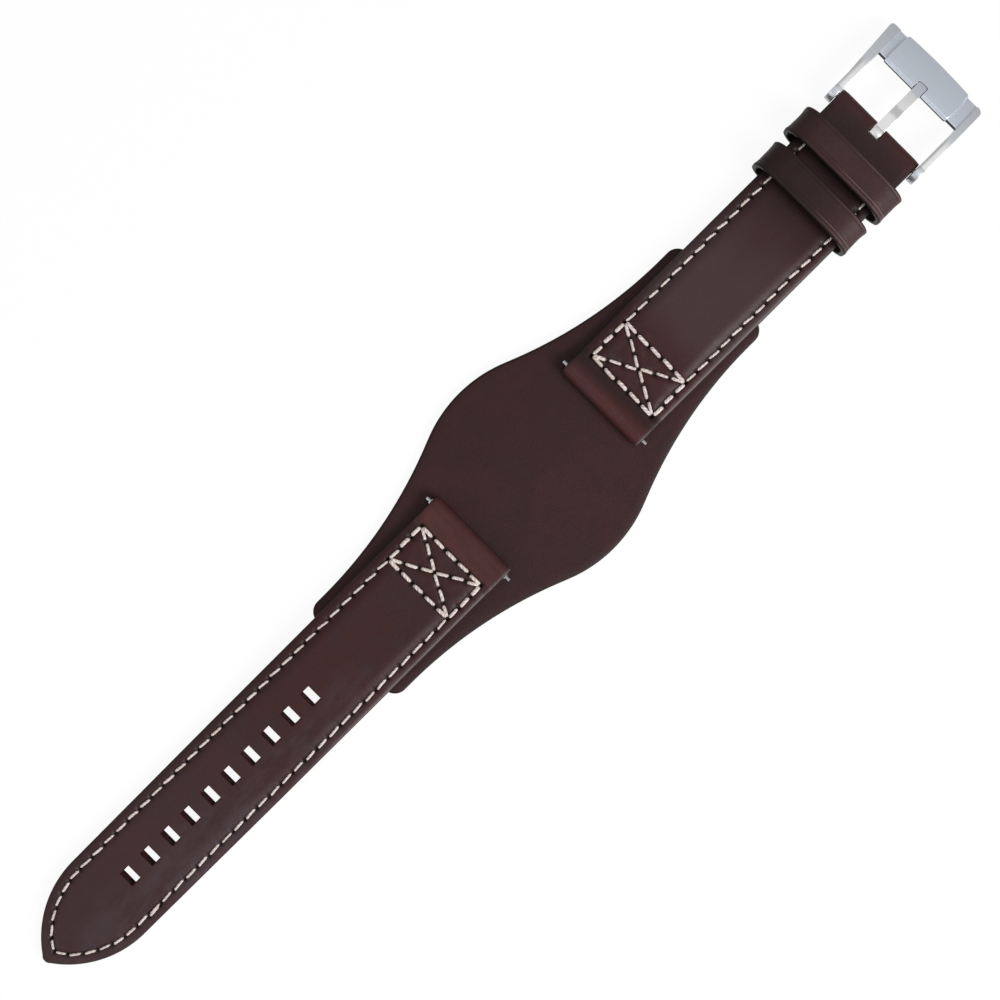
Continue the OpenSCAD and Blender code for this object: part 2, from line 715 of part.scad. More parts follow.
pad_between(-pad_bend_x, pad_bend_x);  // pad_centre
pad_between(-pad_len, -pad_bend_x);  // pad_wing_long
pad_between(pad_bend_x, pad_len);  // pad_wing_short
long_section(0) lug_leather(long_w);  // long_lug_leather
long_section(0) lug_filler(long_w);  // long_lug_filler
long_section(0) box_seam(long_w);  // long_box_thread
on_pad() lug_leather(short_w);  // short_lug_leather
on_pad() lug_filler(short_w);  // short_lug_filler
on_pad() box_seam(short_w);  // short_box_thread
for (n = [1:5]) {
    long_layer(n, 2, grain_colour);
    long_layer(n, 1, filler_colour);
    long_layer(n, 0, lining_colour);
    long_thread(n);
}
for (n = [1:2]) {
    short_leather(n);
    short_filler(n);
    short_lining(n);
    short_thread(n);
}
keeper(fixed_keeper_x, fixed_keeper_w, pad_t);  // fixed_keeper
keeper(free_keeper_x, free_keeper_w, pad_t - keeper_gap);  // free_keeper
buckle_frame();
buckle_tongue();
for (bar = ["long_lug", "short_lug", "buckle"])
    for (piece = ["tube", "plunger_left", "plunger_right", "spring"])
        spring_bar(bar, piece);
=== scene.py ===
import contextlib
import math

import bpy
import numpy as np
from mathutils import Euler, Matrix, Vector, noise


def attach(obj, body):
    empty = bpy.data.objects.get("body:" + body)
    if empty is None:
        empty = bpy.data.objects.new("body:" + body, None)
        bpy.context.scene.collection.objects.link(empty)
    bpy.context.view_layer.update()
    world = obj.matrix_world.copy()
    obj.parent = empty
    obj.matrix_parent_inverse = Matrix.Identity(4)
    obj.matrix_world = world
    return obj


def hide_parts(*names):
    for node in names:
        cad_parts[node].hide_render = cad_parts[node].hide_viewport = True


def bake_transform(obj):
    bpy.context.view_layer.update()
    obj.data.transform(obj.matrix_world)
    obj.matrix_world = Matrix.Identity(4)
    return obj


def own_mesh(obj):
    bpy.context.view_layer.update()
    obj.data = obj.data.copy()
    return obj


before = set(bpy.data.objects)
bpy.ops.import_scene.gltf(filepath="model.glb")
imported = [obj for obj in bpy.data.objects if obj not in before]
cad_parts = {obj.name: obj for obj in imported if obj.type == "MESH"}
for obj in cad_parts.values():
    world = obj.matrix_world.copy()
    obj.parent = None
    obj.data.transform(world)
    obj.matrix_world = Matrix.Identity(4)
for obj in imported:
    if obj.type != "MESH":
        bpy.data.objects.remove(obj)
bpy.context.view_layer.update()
bpy.ops.object.select_all(action="DESELECT")

# The pad: one layer of thick dark brown leather that lies under the watch. It bulges in the
# middle and ends in two parallel-sided tails, and its cut edges are rounded and burnished dark.
MM = 0.001
PAD_T = 1.8
PAD_HALF_LEN = 59.0
PAD_END_Y = 14.0
PAD_END_RUN = 5.2
PAD_CORNER_R = 3.2
BULGE_Y = 24.75
BULGE_R = 32.2
BULGE_RUN = 2.9
PAD_BEND_X = 40.0
PAD_BEND_REACH = 8.0


class Value:
    """A shader socket that takes part in Python expressions, each of which adds a Math node."""

    def __init__(self, finish, socket):
        self.finish = finish
        self.socket = socket

    def math(self, operation, *inputs):
        return self.finish.node("ShaderNodeMath", dict(enumerate(inputs)), operation=operation)

    def __add__(self, other):
        return self.math("ADD", self, other)

    def __sub__(self, other):
        return self.math("SUBTRACT", self, other)

    def __rsub__(self, other):
        return self.math("SUBTRACT", other, self)

    def __mul__(self, other):
        return self.math("MULTIPLY", self, other)

    __radd__ = __add__
    __rmul__ = __mul__

    def ramp(self, low, high):
        """0 below low, 1 above high and a smooth rise between them; low may be the larger."""
        ends = {"Value": self, "From Min": low, "From Max": high}
        return self.finish.node("ShaderNodeMapRange", ends, interpolation_type="SMOOTHSTEP")


class Shading:
    """The shader nodes of a material or of the world."""

    def __init__(self, owner):
        owner.use_nodes = True
        self.nodes = owner.node_tree.nodes
        self.links = owner.node_tree.links

    def node(self, kind, inputs=None, output=0, **settings):
        """Adds a node, with values or links at its inputs, and returns one of its outputs."""
        made = self.nodes.new(kind)
        for name, value in settings.items():
            setattr(made, name, value)
        for key, value in (inputs or {}).items():
            if isinstance(value, Value):
                self.links.new(value.socket, made.inputs[key])
            else:
                made.inputs[key].default_value = value
        return Value(self, made.outputs[output])


class Finish(Shading):
    """A material with one Principled shader, whose varying sockets are fed by nodes."""

    def __init__(self, name, **constants):
        self.material = bpy.data.materials.new(name)
        super().__init__(self.material)
        self.shader = self.nodes["Principled BSDF"]
        for socket, value in constants.items():
            self.shader.inputs[socket.replace("_", " ")].default_value = value

    def place(self, stretch=(1, 1, 1), turn=(0, 0, 0)):
        """Object coordinates, scaled and turned."""
        here = self.node("ShaderNodeTexCoord", output="Object")
        return self.node("ShaderNodeMapping", {"Vector": here, "Scale": stretch, "Rotation": turn})

    def grain(self, size_mm, detail=2.0, rough=0.5, stretch=(1, 1, 1), turn=(0, 0, 0)):
        """Noise whose spots are about size_mm across."""
        inputs = {
            "Vector": self.place(stretch, turn),
            "Scale": 1 / (size_mm * MM),
            "Detail": detail,
            "Roughness": rough,
        }
        return self.node("ShaderNodeTexNoise", inputs)

    def axis(self, name):
        """The X, Y or Z of a point, in millimetres."""
        here = self.node("ShaderNodeTexCoord", output="Object")
        return self.node("ShaderNodeSeparateXYZ", {0: here}, name) * (1 / MM)

    def mark(self, name):
        """A value that the mesh carries at its points."""
        return self.node("ShaderNodeAttribute", output="Fac", attribute_name=name)

    def mix(self, share, first, second):
        """A colour that goes from the first to the second with share."""
        return self.node("ShaderNodeMix", {0: share, 6: first, 7: second}, 2, data_type="RGBA")

    def feed(self, socket, value):
        self.links.new(value.socket, self.shader.inputs[socket])

    def tint(self, share, shade):
        """Lays a shade over the tone so far, and feeds the result as the base colour."""
        self.tone = self.mix(share, self.tone, shade)
        self.feed("Base Color", self.tone)

    def darkened(self):
        """Darkens the base colour at dark dyed edges and painted shade, and gives tongue holes their dark
        red, but not the tone.
        """
        tone = self.mix(self.mark("shaded"), self.tone, colour(12, 7, 7))
        self.feed("Base Color", self.mix(self.mark("pierced"), tone, colour(57, 20, 20)))

    def bump(self, height, depth_mm):
        """Raises the surface by height times depth_mm."""
        inputs = {"Height": height, "Distance": depth_mm * MM}
        self.feed("Normal", self.node("ShaderNodeBump", inputs, "Normal"))


def colour(red, green, blue):
    """A colour given as it looks on a screen, from 0 to 255, as the shader's linear values."""
    seen = (red, green, blue)
    return tuple(((c / 255 + 0.055) / 1.055) ** 2.4 if c > 10 else c / 3294 for c in seen) + (1,)


def scaled(shade, by):
    return tuple(by * c for c in shade[:3]) + (1,)


def leather(name, base, warm, cool, worn_and_lit, warmth=0.6):
    """Smooth pull-up leather: warm and cool clouds, fine pores, and the dark edges, painted shade, wear
    and painted highlights that the mesh carries."""
    finish = Finish(name, Specular_IOR_Level=0.2)
    clouds = finish.grain(26, 3.0, 0.55)
    wisps = finish.grain(5, 4.0, 0.6, turn=(0.3, 0.2, 0.9))
    specks = finish.grain(0.7, 2.0, 0.6)
    finish.tone = base
    finish.tint((clouds * 0.75 + wisps * 0.25).ramp(0.44, 0.64) * warmth, warm)
    finish.tint((clouds * 0.3 + wisps * 0.7).ramp(0.56, 0.38) * 0.7, cool)
    finish.tint(specks.ramp(0.5, 0.8) * 0.12, scaled(warm, 1.7))
    streaks = finish.grain(1.5, 3.0, 0.6, stretch=(1, 0.3, 1))
    # Lighter where the mesh marks wear, as on the stretched leather over a fold, and painted highlights,
    # as on the keepers' creases.
    finish.tint(finish.mark("rubbed") * (streaks * 1.6 + 0.2), worn_and_lit)
    finish.darkened()
    finish.feed("Roughness", wisps * 0.2 + specks * 0.14 + 0.3 + finish.mark("pierced") * 0.5)
    pore_places = {"Vector": finish.place(), "Scale": 1 / (0.55 * MM)}
    pores = finish.node("ShaderNodeTexVoronoi", pore_places, "Distance")
    finish.bump(pores.ramp(0.0, 0.45) * 0.35 + finish.grain(0.4, 2.0) * 0.3 + wisps * 1.4, 0.07)
    return finish


pad_leather = leather(
    "pad_leather", colour(48, 24, 24), colour(53, 26, 25), colour(45, 26, 27), colour(70, 48, 46)
)


def started(primitive, name, **place):
    """A primitive, added with nothing else selected."""
    bpy.ops.object.select_all(action="DESELECT")
    primitive(**place)
    piece = bpy.context.active_object
    piece.name = piece.data.name = name
    return piece


@contextlib.contextmanager
def editing(action="SELECT"):
    """Edit mode on the active piece, with all of it selected or with nothing."""
    bpy.ops.object.mode_set(mode="EDIT")
    bpy.ops.mesh.select_all(action=action)
    yield
    bpy.ops.object.mode_set(mode="OBJECT")


def changed(piece, kind, **settings):
    """Adds a modifier to the active piece and applies it."""
    change = piece.modifiers.new("change", kind)
    for name, value in settings.items():
        setattr(change, name, value)
    bpy.ops.object.modifier_apply(modifier="change")


def mark_rims(mesh, i, j, top):
    """Marks the rims of a slab's holes for the bevel. i, j and top say where each of its points lies."""
    weight = mesh.attributes.new("bevel_weight_edge", "FLOAT", "EDGE")
    edge_of = {tuple(sorted(e.vertices)): e.index for e in mesh.edges}
    ends_i, ends_j = (({0}, {int(places.max())}) for places in (i, j))
    for face in mesh.polygons:
        corners = list(face.vertices)
        outer = {int(i[v]) for v in corners} in ends_i or {int(j[v]) for v in corners} in ends_j
        if len({bool(top[v]) for v in corners}) < 2 or outer:
            continue
        for a, b in zip(corners, corners[1:] + corners[:1]):
            if top[a] == top[b]:
                weight.data[edge_of[tuple(sorted((a, b)))]].value = 1


def slab(name, under, over, marks, gone=None, hole_rim=0.0):
    """A layer between two grids of points in millimetres. marks are values carried by the points,
    gone(i, j) says which cells are cut out, and hole_rim is the bevel at the rims of such holes."""
    under, over = np.array(under), np.array(over)
    rows, columns = over.shape[:2]
    grid = bpy.ops.mesh.primitive_grid_add
    piece = started(grid, name, x_subdivisions=rows - 1, y_subdivisions=columns - 1, size=2)
    mesh = piece.data
    with editing("DESELECT"):
        bpy.ops.mesh.select_mode(type="FACE")
    if gone:
        for face in mesh.polygons:
            i, j = (face.center.x + 1) / 2 * (rows - 1), (face.center.y + 1) / 2 * (columns - 1)
            face.select = bool(gone(int(i), int(j)))
        bpy.ops.object.mode_set(mode="EDIT")
        bpy.ops.mesh.delete(type="FACE")
        bpy.ops.object.mode_set(mode="OBJECT")
    with editing():
        bpy.ops.mesh.extrude_region_move(TRANSFORM_OT_translate={"value": (0, 0, 1)})

    spots = np.zeros(len(mesh.vertices) * 3, np.float32)
    mesh.vertices.foreach_get("co", spots)
    spots = spots.reshape(-1, 3)
    i = np.rint((spots[:, 0] + 1) / 2 * (rows - 1)).astype(int)
    j = np.rint((spots[:, 1] + 1) / 2 * (columns - 1)).astype(int)
    top = spots[:, 2] > 0.5
    laid = np.where(top[:, None], over[i, j], under[i, j]) * MM
    mesh.vertices.foreach_set("co", laid.astype(np.float32).ravel())
    for mark, values in marks.items():
        carried = mesh.attributes.new(mark, "FLOAT", "POINT")
        carried.data.foreach_set("value", np.array(values)[i, j].astype(np.float32))
    with editing():
        bpy.ops.mesh.normals_make_consistent(inside=False)
    if hole_rim:
        mark_rims(mesh, i, j, top)
        rim = {"limit_method": "WEIGHT", "width": hole_rim * MM, "segments": 2}
        changed(piece, "BEVEL", **rim, use_clamp_overlap=False)
    bpy.ops.object.shade_smooth_by_angle(angle=math.radians(42))
    return piece


def smooth(low, high, value):
    t = np.clip((value - low) / (high - low), 0, 1)
    return t * t * (3 - 2 * t)


def bend(piece, first, second, x, reach, sign):
    """Puts the piece's place into its mesh."""
    start = (sign * (x - reach) * MM, 0, 0)
    sign * (x + reach) * MM
    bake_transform(piece)


def finished(piece, finish):
    piece.data.materials.clear()
    piece.data.materials.append(finish.material)
    return piece


def rounded(from_rim, radius):
    """How far a surface has dropped at a distance from a rim that is rounded with a radius."""
    short = np.clip(radius - from_rim, 0, radius)
    return radius - np.sqrt(radius**2 - short**2)


def waviness(x, y, size, height):
    """A gentle unevenness of the leather, the same at every run."""
    return height * noise.noise(Vector((x / size, y / size, 0.37)))


pad_rise = PAD_END_Y - (BULGE_Y - BULGE_R)
pad_end_x = PAD_HALF_LEN - PAD_END_RUN
waist_r = (pad_end_x**2 + pad_rise**2 - BULGE_R**2 - BULGE_RUN**2) / (2 * (BULGE_R - pad_rise))
waist_turn = math.atan2(pad_end_x, pad_rise + waist_r) - math.atan2(BULGE_RUN, BULGE_R + waist_r)
bulge_end_x = BULGE_R * math.sin(waist_turn)
waist_start_x = bulge_end_x + BULGE_RUN * math.cos(waist_turn)


def pad_half_width(x):
    if x <= bulge_end_x:
        return BULGE_Y - BULGE_R + math.sqrt(BULGE_R**2 - x**2)
    if x <= waist_start_x:
        return pad_half_width(bulge_end_x) - math.tan(waist_turn) * (x - bulge_end_x)
    if x <= pad_end_x:
        return PAD_END_Y + waist_r - math.sqrt(waist_r**2 - (pad_end_x - x) ** 2)
    past = max(0.0, x - (PAD_HALF_LEN - PAD_CORNER_R))
    return PAD_END_Y - PAD_CORNER_R + math.sqrt(max(0.0, PAD_CORNER_R**2 - past**2))


def pad_from_rim(x, y):
    """Distance of a point from the pad's outline."""
    past_x, past_y = x - (PAD_HALF_LEN - PAD_CORNER_R), abs(y) - (PAD_END_Y - PAD_CORNER_R)
    if past_x > 0 and past_y > 0:
        return PAD_CORNER_R - math.hypot(past_x, past_y)
    slope = (pad_half_width(x + 0.1) - pad_half_width(x - 0.1)) / 0.2 if x < pad_end_x else 0.0
    return min((pad_half_width(x) - abs(y)) * math.cos(math.atan(slope)), PAD_HALF_LEN - x)


PAD_RIM_R = 0.5
rim_steps = np.array([0, 0.03, 0.09, 0.18, 0.3, 0.48, 0.8, 1.3])
pad_rows = np.concatenate(
    [np.arange(0, 54.4, 0.8), np.linspace(54.8, 57.4, 10), PAD_HALF_LEN - rim_steps[::-1]]
)
for side, name, wing, body in (
    (-1, "pad_long_side", "pad_wing_long", "long_1"),
    (1, "pad_short_side", "pad_wing_short", "short_1"),
):
    over, under, shaded = [], [], []
    for x in pad_rows:
        width = pad_half_width(x)
        one = list(np.linspace(0, width - 1.8, 28)) + list(width - rim_steps[::-1])
        upper, lower, dark = [], [], []
        for y in [-y for y in one[:0:-1]] + one:
            from_rim = max(0.0, pad_from_rim(x, y))
            drop = rounded(from_rim, PAD_RIM_R)
            ease = 0.1 * smooth(1.6, 0.3, from_rim)
            upper.append((side * x, y, PAD_T + waviness(side * x, y, 9, 0.05) - ease - drop))
            lower.append((side * x, y, drop))
            dark.append(0.8 * smooth(0.75, 0.15, from_rim))
        over.append(upper)
        under.append(lower)
        shaded.append(dark)
    pad = slab(name, under, over, {"shaded": shaded})
    finished(pad, pad_leather)
    bend(pad, "root", body, PAD_BEND_X, PAD_BEND_REACH, side)
    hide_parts("pad_centre", wing)

# The long half: grain leather over a filler, folded round the lug bar and skived underneath, with
# a thin lining. Ten tongue holes are punched through it, and its tip is pointed. It is cut into
# stretches that each cross one line where the strap bends.
GRAIN_T = 1.1
LINING_T = 1.0
BORDER_T = 2.8
BORDER_FALL = 0.5
RIM_R = 0.3
BOX_T = 3.1
CROWN_LUG_T = 3.4
CROWN_END_T = 3.0
LUG_BAR_X = 21.6
LUG_FOLD_R = 2.1
LUG_FOLD_RUN = 4.4
FOLD_END_X = LUG_BAR_X + LUG_FOLD_RUN
TAIL_END_X = 39.9
LONG_W = 23.5
TIP_W = 23.0
LONG_REACH = 156.2
TIP_X = 135.8
TIP_ROUND = 0.45
TAPER_FROM = 92.0
TIP_SIDE_R = 24.36
HOLE_START = 71.4
HOLE_PITCH = 6.37
HOLE_COUNT = 10
HOLE_LEN = 2.6
HOLE_W = 3.8
SLOPE_FROM = 61.845
SLOPE_TO = 87.325
SLOPE_EASE = 5.0
SEAM_IN = 2.4
TIP_STITCHES = 6
TIP_SEAM_END = 152.85
LOCK_STITCH = (130.6, -9.5)
LOCK_REACH = 1.75
SLOT_SLANT = 0.4
STITCH = 3.72
EDGE_THREAD = 0.6
BOX_THREAD = 0.87
CROSS_THREAD = 0.78
GROOVE_DEPTH = 0.24
NEEDLE_DEPTH = 0.5
SWELL = 0.06
BOX_NEAR_X = 26.9
BOX_FAR_X = 37.4
LONG_CUTS = (51.0, 74.585, 100.065, 125.545)
LONG_BENDS = ((40.0, 8.0), (61.845, 3.4), (87.325, 8.0), (112.805, 8.0), (135.1, 8.0))

tip_seam_r = TIP_SIDE_R - SEAM_IN
tip_seam_turn = math.acos((TIP_SIDE_R - TIP_W / 2) / tip_seam_r)

grain_leather = leather(
    "strap_leather", colour(51, 26, 26), colour(58, 28, 27), colour(49, 32, 34), colour(112, 62, 60)
)
strap_x = grain_leather.axis("X") + grain_leather.grain(14, 2.0) * 14 - 7
# Painted sheen: a greyer, lighter tone on the short half from about 40 to 80 mm. The long half also turns
# paler towards its tip.
pale = strap_x.ramp(-60, -120) * 0.45 + strap_x.ramp(40, 50) * strap_x.ramp(80, 58)
grain_leather.tint(pale * 0.8, colour(62, 46, 47))
# Painted sheen: grey streaks on the side of the long half that faces the lamp (y < 0), towards its tip.
lamp_side_sheen = grain_leather.grain(6, 4.0, 0.65, stretch=(0.5, 1, 1)).ramp(0.42, 0.68)
lamp_side_sheen = lamp_side_sheen * grain_leather.axis("Y").ramp(3, -6) * strap_x.ramp(-45, -75)
grain_leather.tint(lamp_side_sheen * 0.6, colour(66, 54, 59))
# Painted shade: the short half is darker from about 68 to 110 mm, round and under the keepers.
grain_leather.tint(strap_x.ramp(68, 86) * strap_x.ramp(110, 100) * 0.6, colour(30, 20, 21))
grain_leather.tint(strap_x.ramp(103, 110) * 0.5, colour(66, 32, 32))
grain_leather.tint(grain_leather.mark("glint"), colour(136, 124, 126))
grain_leather.darkened()
edge_paint = Finish("edge_paint", Specular_IOR_Level=0.15)
edge_paint.tone = colour(22, 13, 13)
edge_paint.tint(edge_paint.grain(1.2, 3.0).ramp(0.4, 0.7), colour(34, 21, 20))
edge_paint.tint(edge_paint.mark("pierced"), colour(45, 15, 15))
edge_paint.feed("Roughness", edge_paint.grain(0.8, 2.0) * 0.3 + 0.6)
edge_paint.bump(edge_paint.grain(0.5, 3.0), 0.08)
lining_leather = leather(
    "lining_leather", colour(74, 50, 42), colour(84, 56, 46), colour(66, 48, 42), colour(96, 70, 58), 0.4
)


def long_half_width(x):
    if x <= TIP_X:
        return (LONG_W + (TIP_W - LONG_W) * max(0.0, x - TAPER_FROM) / (TIP_X - TAPER_FROM)) / 2
    past = max(0.0, x - (LONG_REACH - TIP_ROUND)) / TIP_ROUND
    beyond = min(x, LONG_REACH - TIP_ROUND) - TIP_X
    side_y = math.sqrt(TIP_SIDE_R**2 - beyond**2) - TIP_SIDE_R + TIP_W / 2
    return max(0.12, side_y * math.sqrt(max(0.0, 1 - past**2)))


def long_from_rim(x, y):
    """Distance of a point from the long half's outline."""
    if x <= TIP_X:
        return long_half_width(x) - abs(y)
    aside = TIP_SIDE_R - math.hypot(x - TIP_X, abs(y) + TIP_SIDE_R - TIP_W / 2)
    if x < LONG_REACH - TIP_ROUND:
        return max(0.0, aside)
    return max(0.0, min(aside, long_half_width(x) - abs(y), LONG_REACH - x))


def long_seam_y(x):
    if x <= TIP_X:
        return long_half_width(x) - SEAM_IN
    return max(0.0, math.sqrt(max(0.0, tip_seam_r**2 - (x - TIP_X) ** 2)) - TIP_SIDE_R + TIP_W / 2)


def ramp_run(t):
    """The integral of a slope that comes in over SLOPE_EASE before and after 0."""
    if t <= -SLOPE_EASE:
        return 0.0
    return t if t >= SLOPE_EASE else (t + SLOPE_EASE) ** 2 / (4 * SLOPE_EASE)


def long_base_z(x):
    """Height of the long half's underside: on the pad, then down a slope, then on the table."""
    fall = PAD_T / (SLOPE_TO - SLOPE_FROM)
    return PAD_T - fall * (ramp_run(x - SLOPE_FROM) - ramp_run(x - SLOPE_TO))


class Half:
    """One half of the strap. Its places are counted from the pad's middle, and sign says on which side
    it lies. It is cut into stretches at its cuts."""

    def __init__(self, **shape):
        vars(self).update(shape)
        self.stitches = []
        self.needles = []

    def unpadded(self, x):
        """1 at the folds round the bars, where the leather is level, and 0 between them."""
        return max(smooth(FOLD_END_X + 2, FOLD_END_X, x), smooth(*self.flat_from, x))

    def thickness(self, x, y):
        """Thickness without the marks of the stitches."""
        places = [PAD_BEND_X - 4, PAD_BEND_X + 6, self.crown_end]
        crown = np.interp(x, places, [BOX_T, CROWN_LUG_T, CROWN_END_T])
        seam = self.seam_y(x)
        inside = smooth(seam - 0.2, seam - 2.6, abs(y))
        fall = BORDER_FALL * smooth(2.3, -0.6, self.from_rim(x, y))
        padded = BORDER_T + (crown - BORDER_T) * inside - fall
        level = BOX_T if x < PAD_BEND_X else CROWN_END_T
        return padded + (level - padded) * self.unpadded(x)

    def sew(self, start, end, count, thread):
        """A run of count stitches; a needle hole lies between each two."""
        start, end = np.array(start, float), np.array(end, float)
        for k in range(count):
            a, b = start + (end - start) * k / count, start + (end - start) * (k + 1) / count
            self.stitches.append((a, b, thread))
            for spot in (a, b):
                if all(np.linalg.norm(spot - other[0]) > 0.4 for other in self.needles):
                    self.needles.append((spot, (b - a) / np.linalg.norm(b - a), thread))

    def sew_box(self):
        """The box seam with its cross."""
        y = self.seam_y(BOX_NEAR_X)
        for x in (BOX_NEAR_X, BOX_FAR_X):
            self.sew((x, -y), (x, y), 5, BOX_THREAD)
        for side in (-1, 1):
            self.sew((BOX_NEAR_X, side * y), (BOX_FAR_X, side * y), 3, BOX_THREAD)
            self.sew((BOX_NEAR_X, -side * y), (BOX_FAR_X, side * y), 6, CROSS_THREAD)

    def ready(self):
        """Gathers what the stitches do to the leather round them."""
        self.spots, self.ways, self.sizes = map(np.array, zip(*self.needles))
        self.starts, self.ends = (np.array([s[end] for s in self.stitches]) for end in (0, 1))

    def pressed(self, x, y):
        """How deep the stitches press the leather, and how much painted shade a needle hole gets, at a
        point.
        """
        point = np.array((x, y))
        offset = point - self.spots
        near = np.abs(offset[:, 0]) + np.abs(offset[:, 1]) < 4
        hole = 0.0
        if near.any():
            offset, way = offset[near], self.ways[near]
            along = (offset * way).sum(1)
            beside = offset[:, 0] * -way[:, 1] + offset[:, 1] * way[:, 0]
            hole = np.exp(-((along / 0.38) ** 4) - (beside / (0.8 * self.sizes[near])) ** 2).max()
        lie = self.ends - self.starts
        share = np.clip(((point - self.starts) * lie).sum(1) / (lie**2).sum(1), 0, 1)
        gap = np.linalg.norm(point - self.starts - share[:, None] * lie, axis=1).min()
        groove = math.exp(-((gap / 0.6) ** 2))
        swell = math.exp(-(((gap - 1.5) / 0.8) ** 2))
        return GROOVE_DEPTH * groove + NEEDLE_DEPTH * hole - SWELL * swell, hole, groove


def hole_offset(x):
    """Where x lies from the middle of the nearest tongue hole."""
    nearest = min(max(round((x - HOLE_START) / HOLE_PITCH), 0), HOLE_COUNT - 1)
    return x - HOLE_START - nearest * HOLE_PITCH


def in_hole(x, y, reach=0.0):
    """Whether a point is in a tongue hole of the long half, or within reach of it."""
    return abs(hole_offset(x)) < HOLE_LEN / 2 + reach and abs(y) < HOLE_W / 2 + reach


long_half = Half(
    name="long",
    sign=-1,
    half_width=long_half_width,
    from_rim=long_from_rim,
    seam_y=long_seam_y,
    base_z=long_base_z,
    crown_end=TIP_X,
    flat_from=(200.0, 201.0),
    valley_shade=0.0,
    band=lambda x: 0.21 * (smooth(28.4, 24.6, x) * (1 - 0.35 * smooth(24.5, 21, x))),
    cuts=(FOLD_END_X, *LONG_CUTS, LONG_REACH),
    bends=LONG_BENDS,
    lining_to=LONG_REACH + 1,
    middle=HOLE_W / 2,
    opened=in_hole,
    end_fold=(),
)
long_half.sew_box()
edge_count = round((TIP_X - BOX_FAR_X) / STITCH)
for side in (-1, 1):
    seam = [BOX_FAR_X + (TIP_X - BOX_FAR_X) * n / edge_count for n in range(edge_count + 1)]
    turns = [tip_seam_turn * n / TIP_STITCHES for n in range(1, TIP_STITCHES)]
    seam += [TIP_X + tip_seam_r * math.sin(turn) for turn in turns]
    seam = [(x, side * long_seam_y(x)) for x in seam] + [(TIP_SEAM_END, 0.0)]
    for start, end in zip(seam, seam[1:]):
        long_half.sew(start, end, 1, EDGE_THREAD)
lock_x, lock_y = LOCK_STITCH
long_half.sew((lock_x - LOCK_REACH, lock_y), (lock_x + LOCK_REACH, lock_y), 1, EDGE_THREAD)
long_half.ready()


def across(half, x):
    """Points across the strap, close together at the seams and at the rims of its holes or slot."""
    width = half.half_width(x)
    scale = min(1.0, width / 2.2)
    rim = 0.45 * scale
    seam = max(half.seam_y(x), 0.25 * width)
    shrink = min(1.0, seam / 9.0)
    outer = [seam + (width - rim - seam) * d for d in (0, 0.15, 0.31, 0.51, 0.77)]
    outer += [width - scale * d for d in (0.45, 0.3, 0.17, 0.08, 0.02, 0)]
    inner = [seam - d * shrink for d in (2.6, 2.0, 1.5, 1.0, 0.6, 0.3)]
    middle = half.middle * shrink
    core = list(np.linspace(0, middle, 4)) + list(np.linspace(middle, inner[0], 9))[1:-1]
    one = core + inner + outer
    return np.array([-y for y in one[:0:-1]] + one)


def bar_path(bar_x, fold_r, run, level, tail_run, side, above, below):
    """The outer line of leather folded round a bar, from its tail to the strap's top at height level,
    as points with normals. side is 1 where the strap lies beyond the bar and -1 where it lies before
    it, and above and below are distances from the bar that get a point of their own."""
    dip = 1.5
    rise = level - fold_r
    lean = math.asin(fold_r / math.hypot(run - dip, rise)) - math.atan2(rise, run - dip)
    tail = sorted({*np.linspace(0, tail_run, 26)[1:], below}, reverse=True)
    points = [(x, 0.0, 0.0, -1.0) for x in tail]
    for turn in np.radians(np.linspace(270, 90 - math.degrees(lean), 30)):
        nx, nz = math.cos(turn), math.sin(turn)
        points.append((fold_r * nx, fold_r * (1 + nz), nx, nz))
    leave = points[-1][0]
    for x in sorted({*np.linspace(leave, run, 16)[1:], above}):
        past = x - (run - dip)
        fall = -past if past < -dip else (dip - past) ** 2 / (4 * dip)
        slope = 1 if past < -dip else (dip - past) / (2 * dip)
        length = math.hypot(1, slope * math.tan(lean))
        points.append((x, level + math.tan(lean) * fall, slope * math.tan(lean) / length, 1 / length))
    return [(bar_x + side * x, z, side * nx, nz) for x, z, nx, nz in points]


def rows_of(half, n):
    """Rows of the half's nth stretch, about fourteen to a stitch, with rows at the rims of the holes."""
    a, b = half.cuts[n - 1 : n + 1]
    middles = [HOLE_START + k * HOLE_PITCH for k in range(HOLE_COUNT) if half.opened is in_hole]
    rims = [x + side * HOLE_LEN / 2 for x in middles for side in (-1, 1)]
    fixed = [a, *(x for x in rims if a < x < b), b]
    rows = []
    for low, high in zip(fixed, fixed[1:]):
        count = max(1, round((high - low) / (STITCH / 14)))
        rows += [low + (high - low) * k / count for k in range(count)]
    if b == LONG_REACH:
        rows = [x for x in rows if x < b - 0.6] + [b - d for d in (0.6, 0.45, 0.3, 0.18, 0.08, 0.02)]
    return rows + [b]


def pierced(half, x, y, reach):
    """1 within reach of a tongue hole of the long half, and 0 elsewhere."""
    return float(half.opened is in_hole and in_hole(x, y, reach))


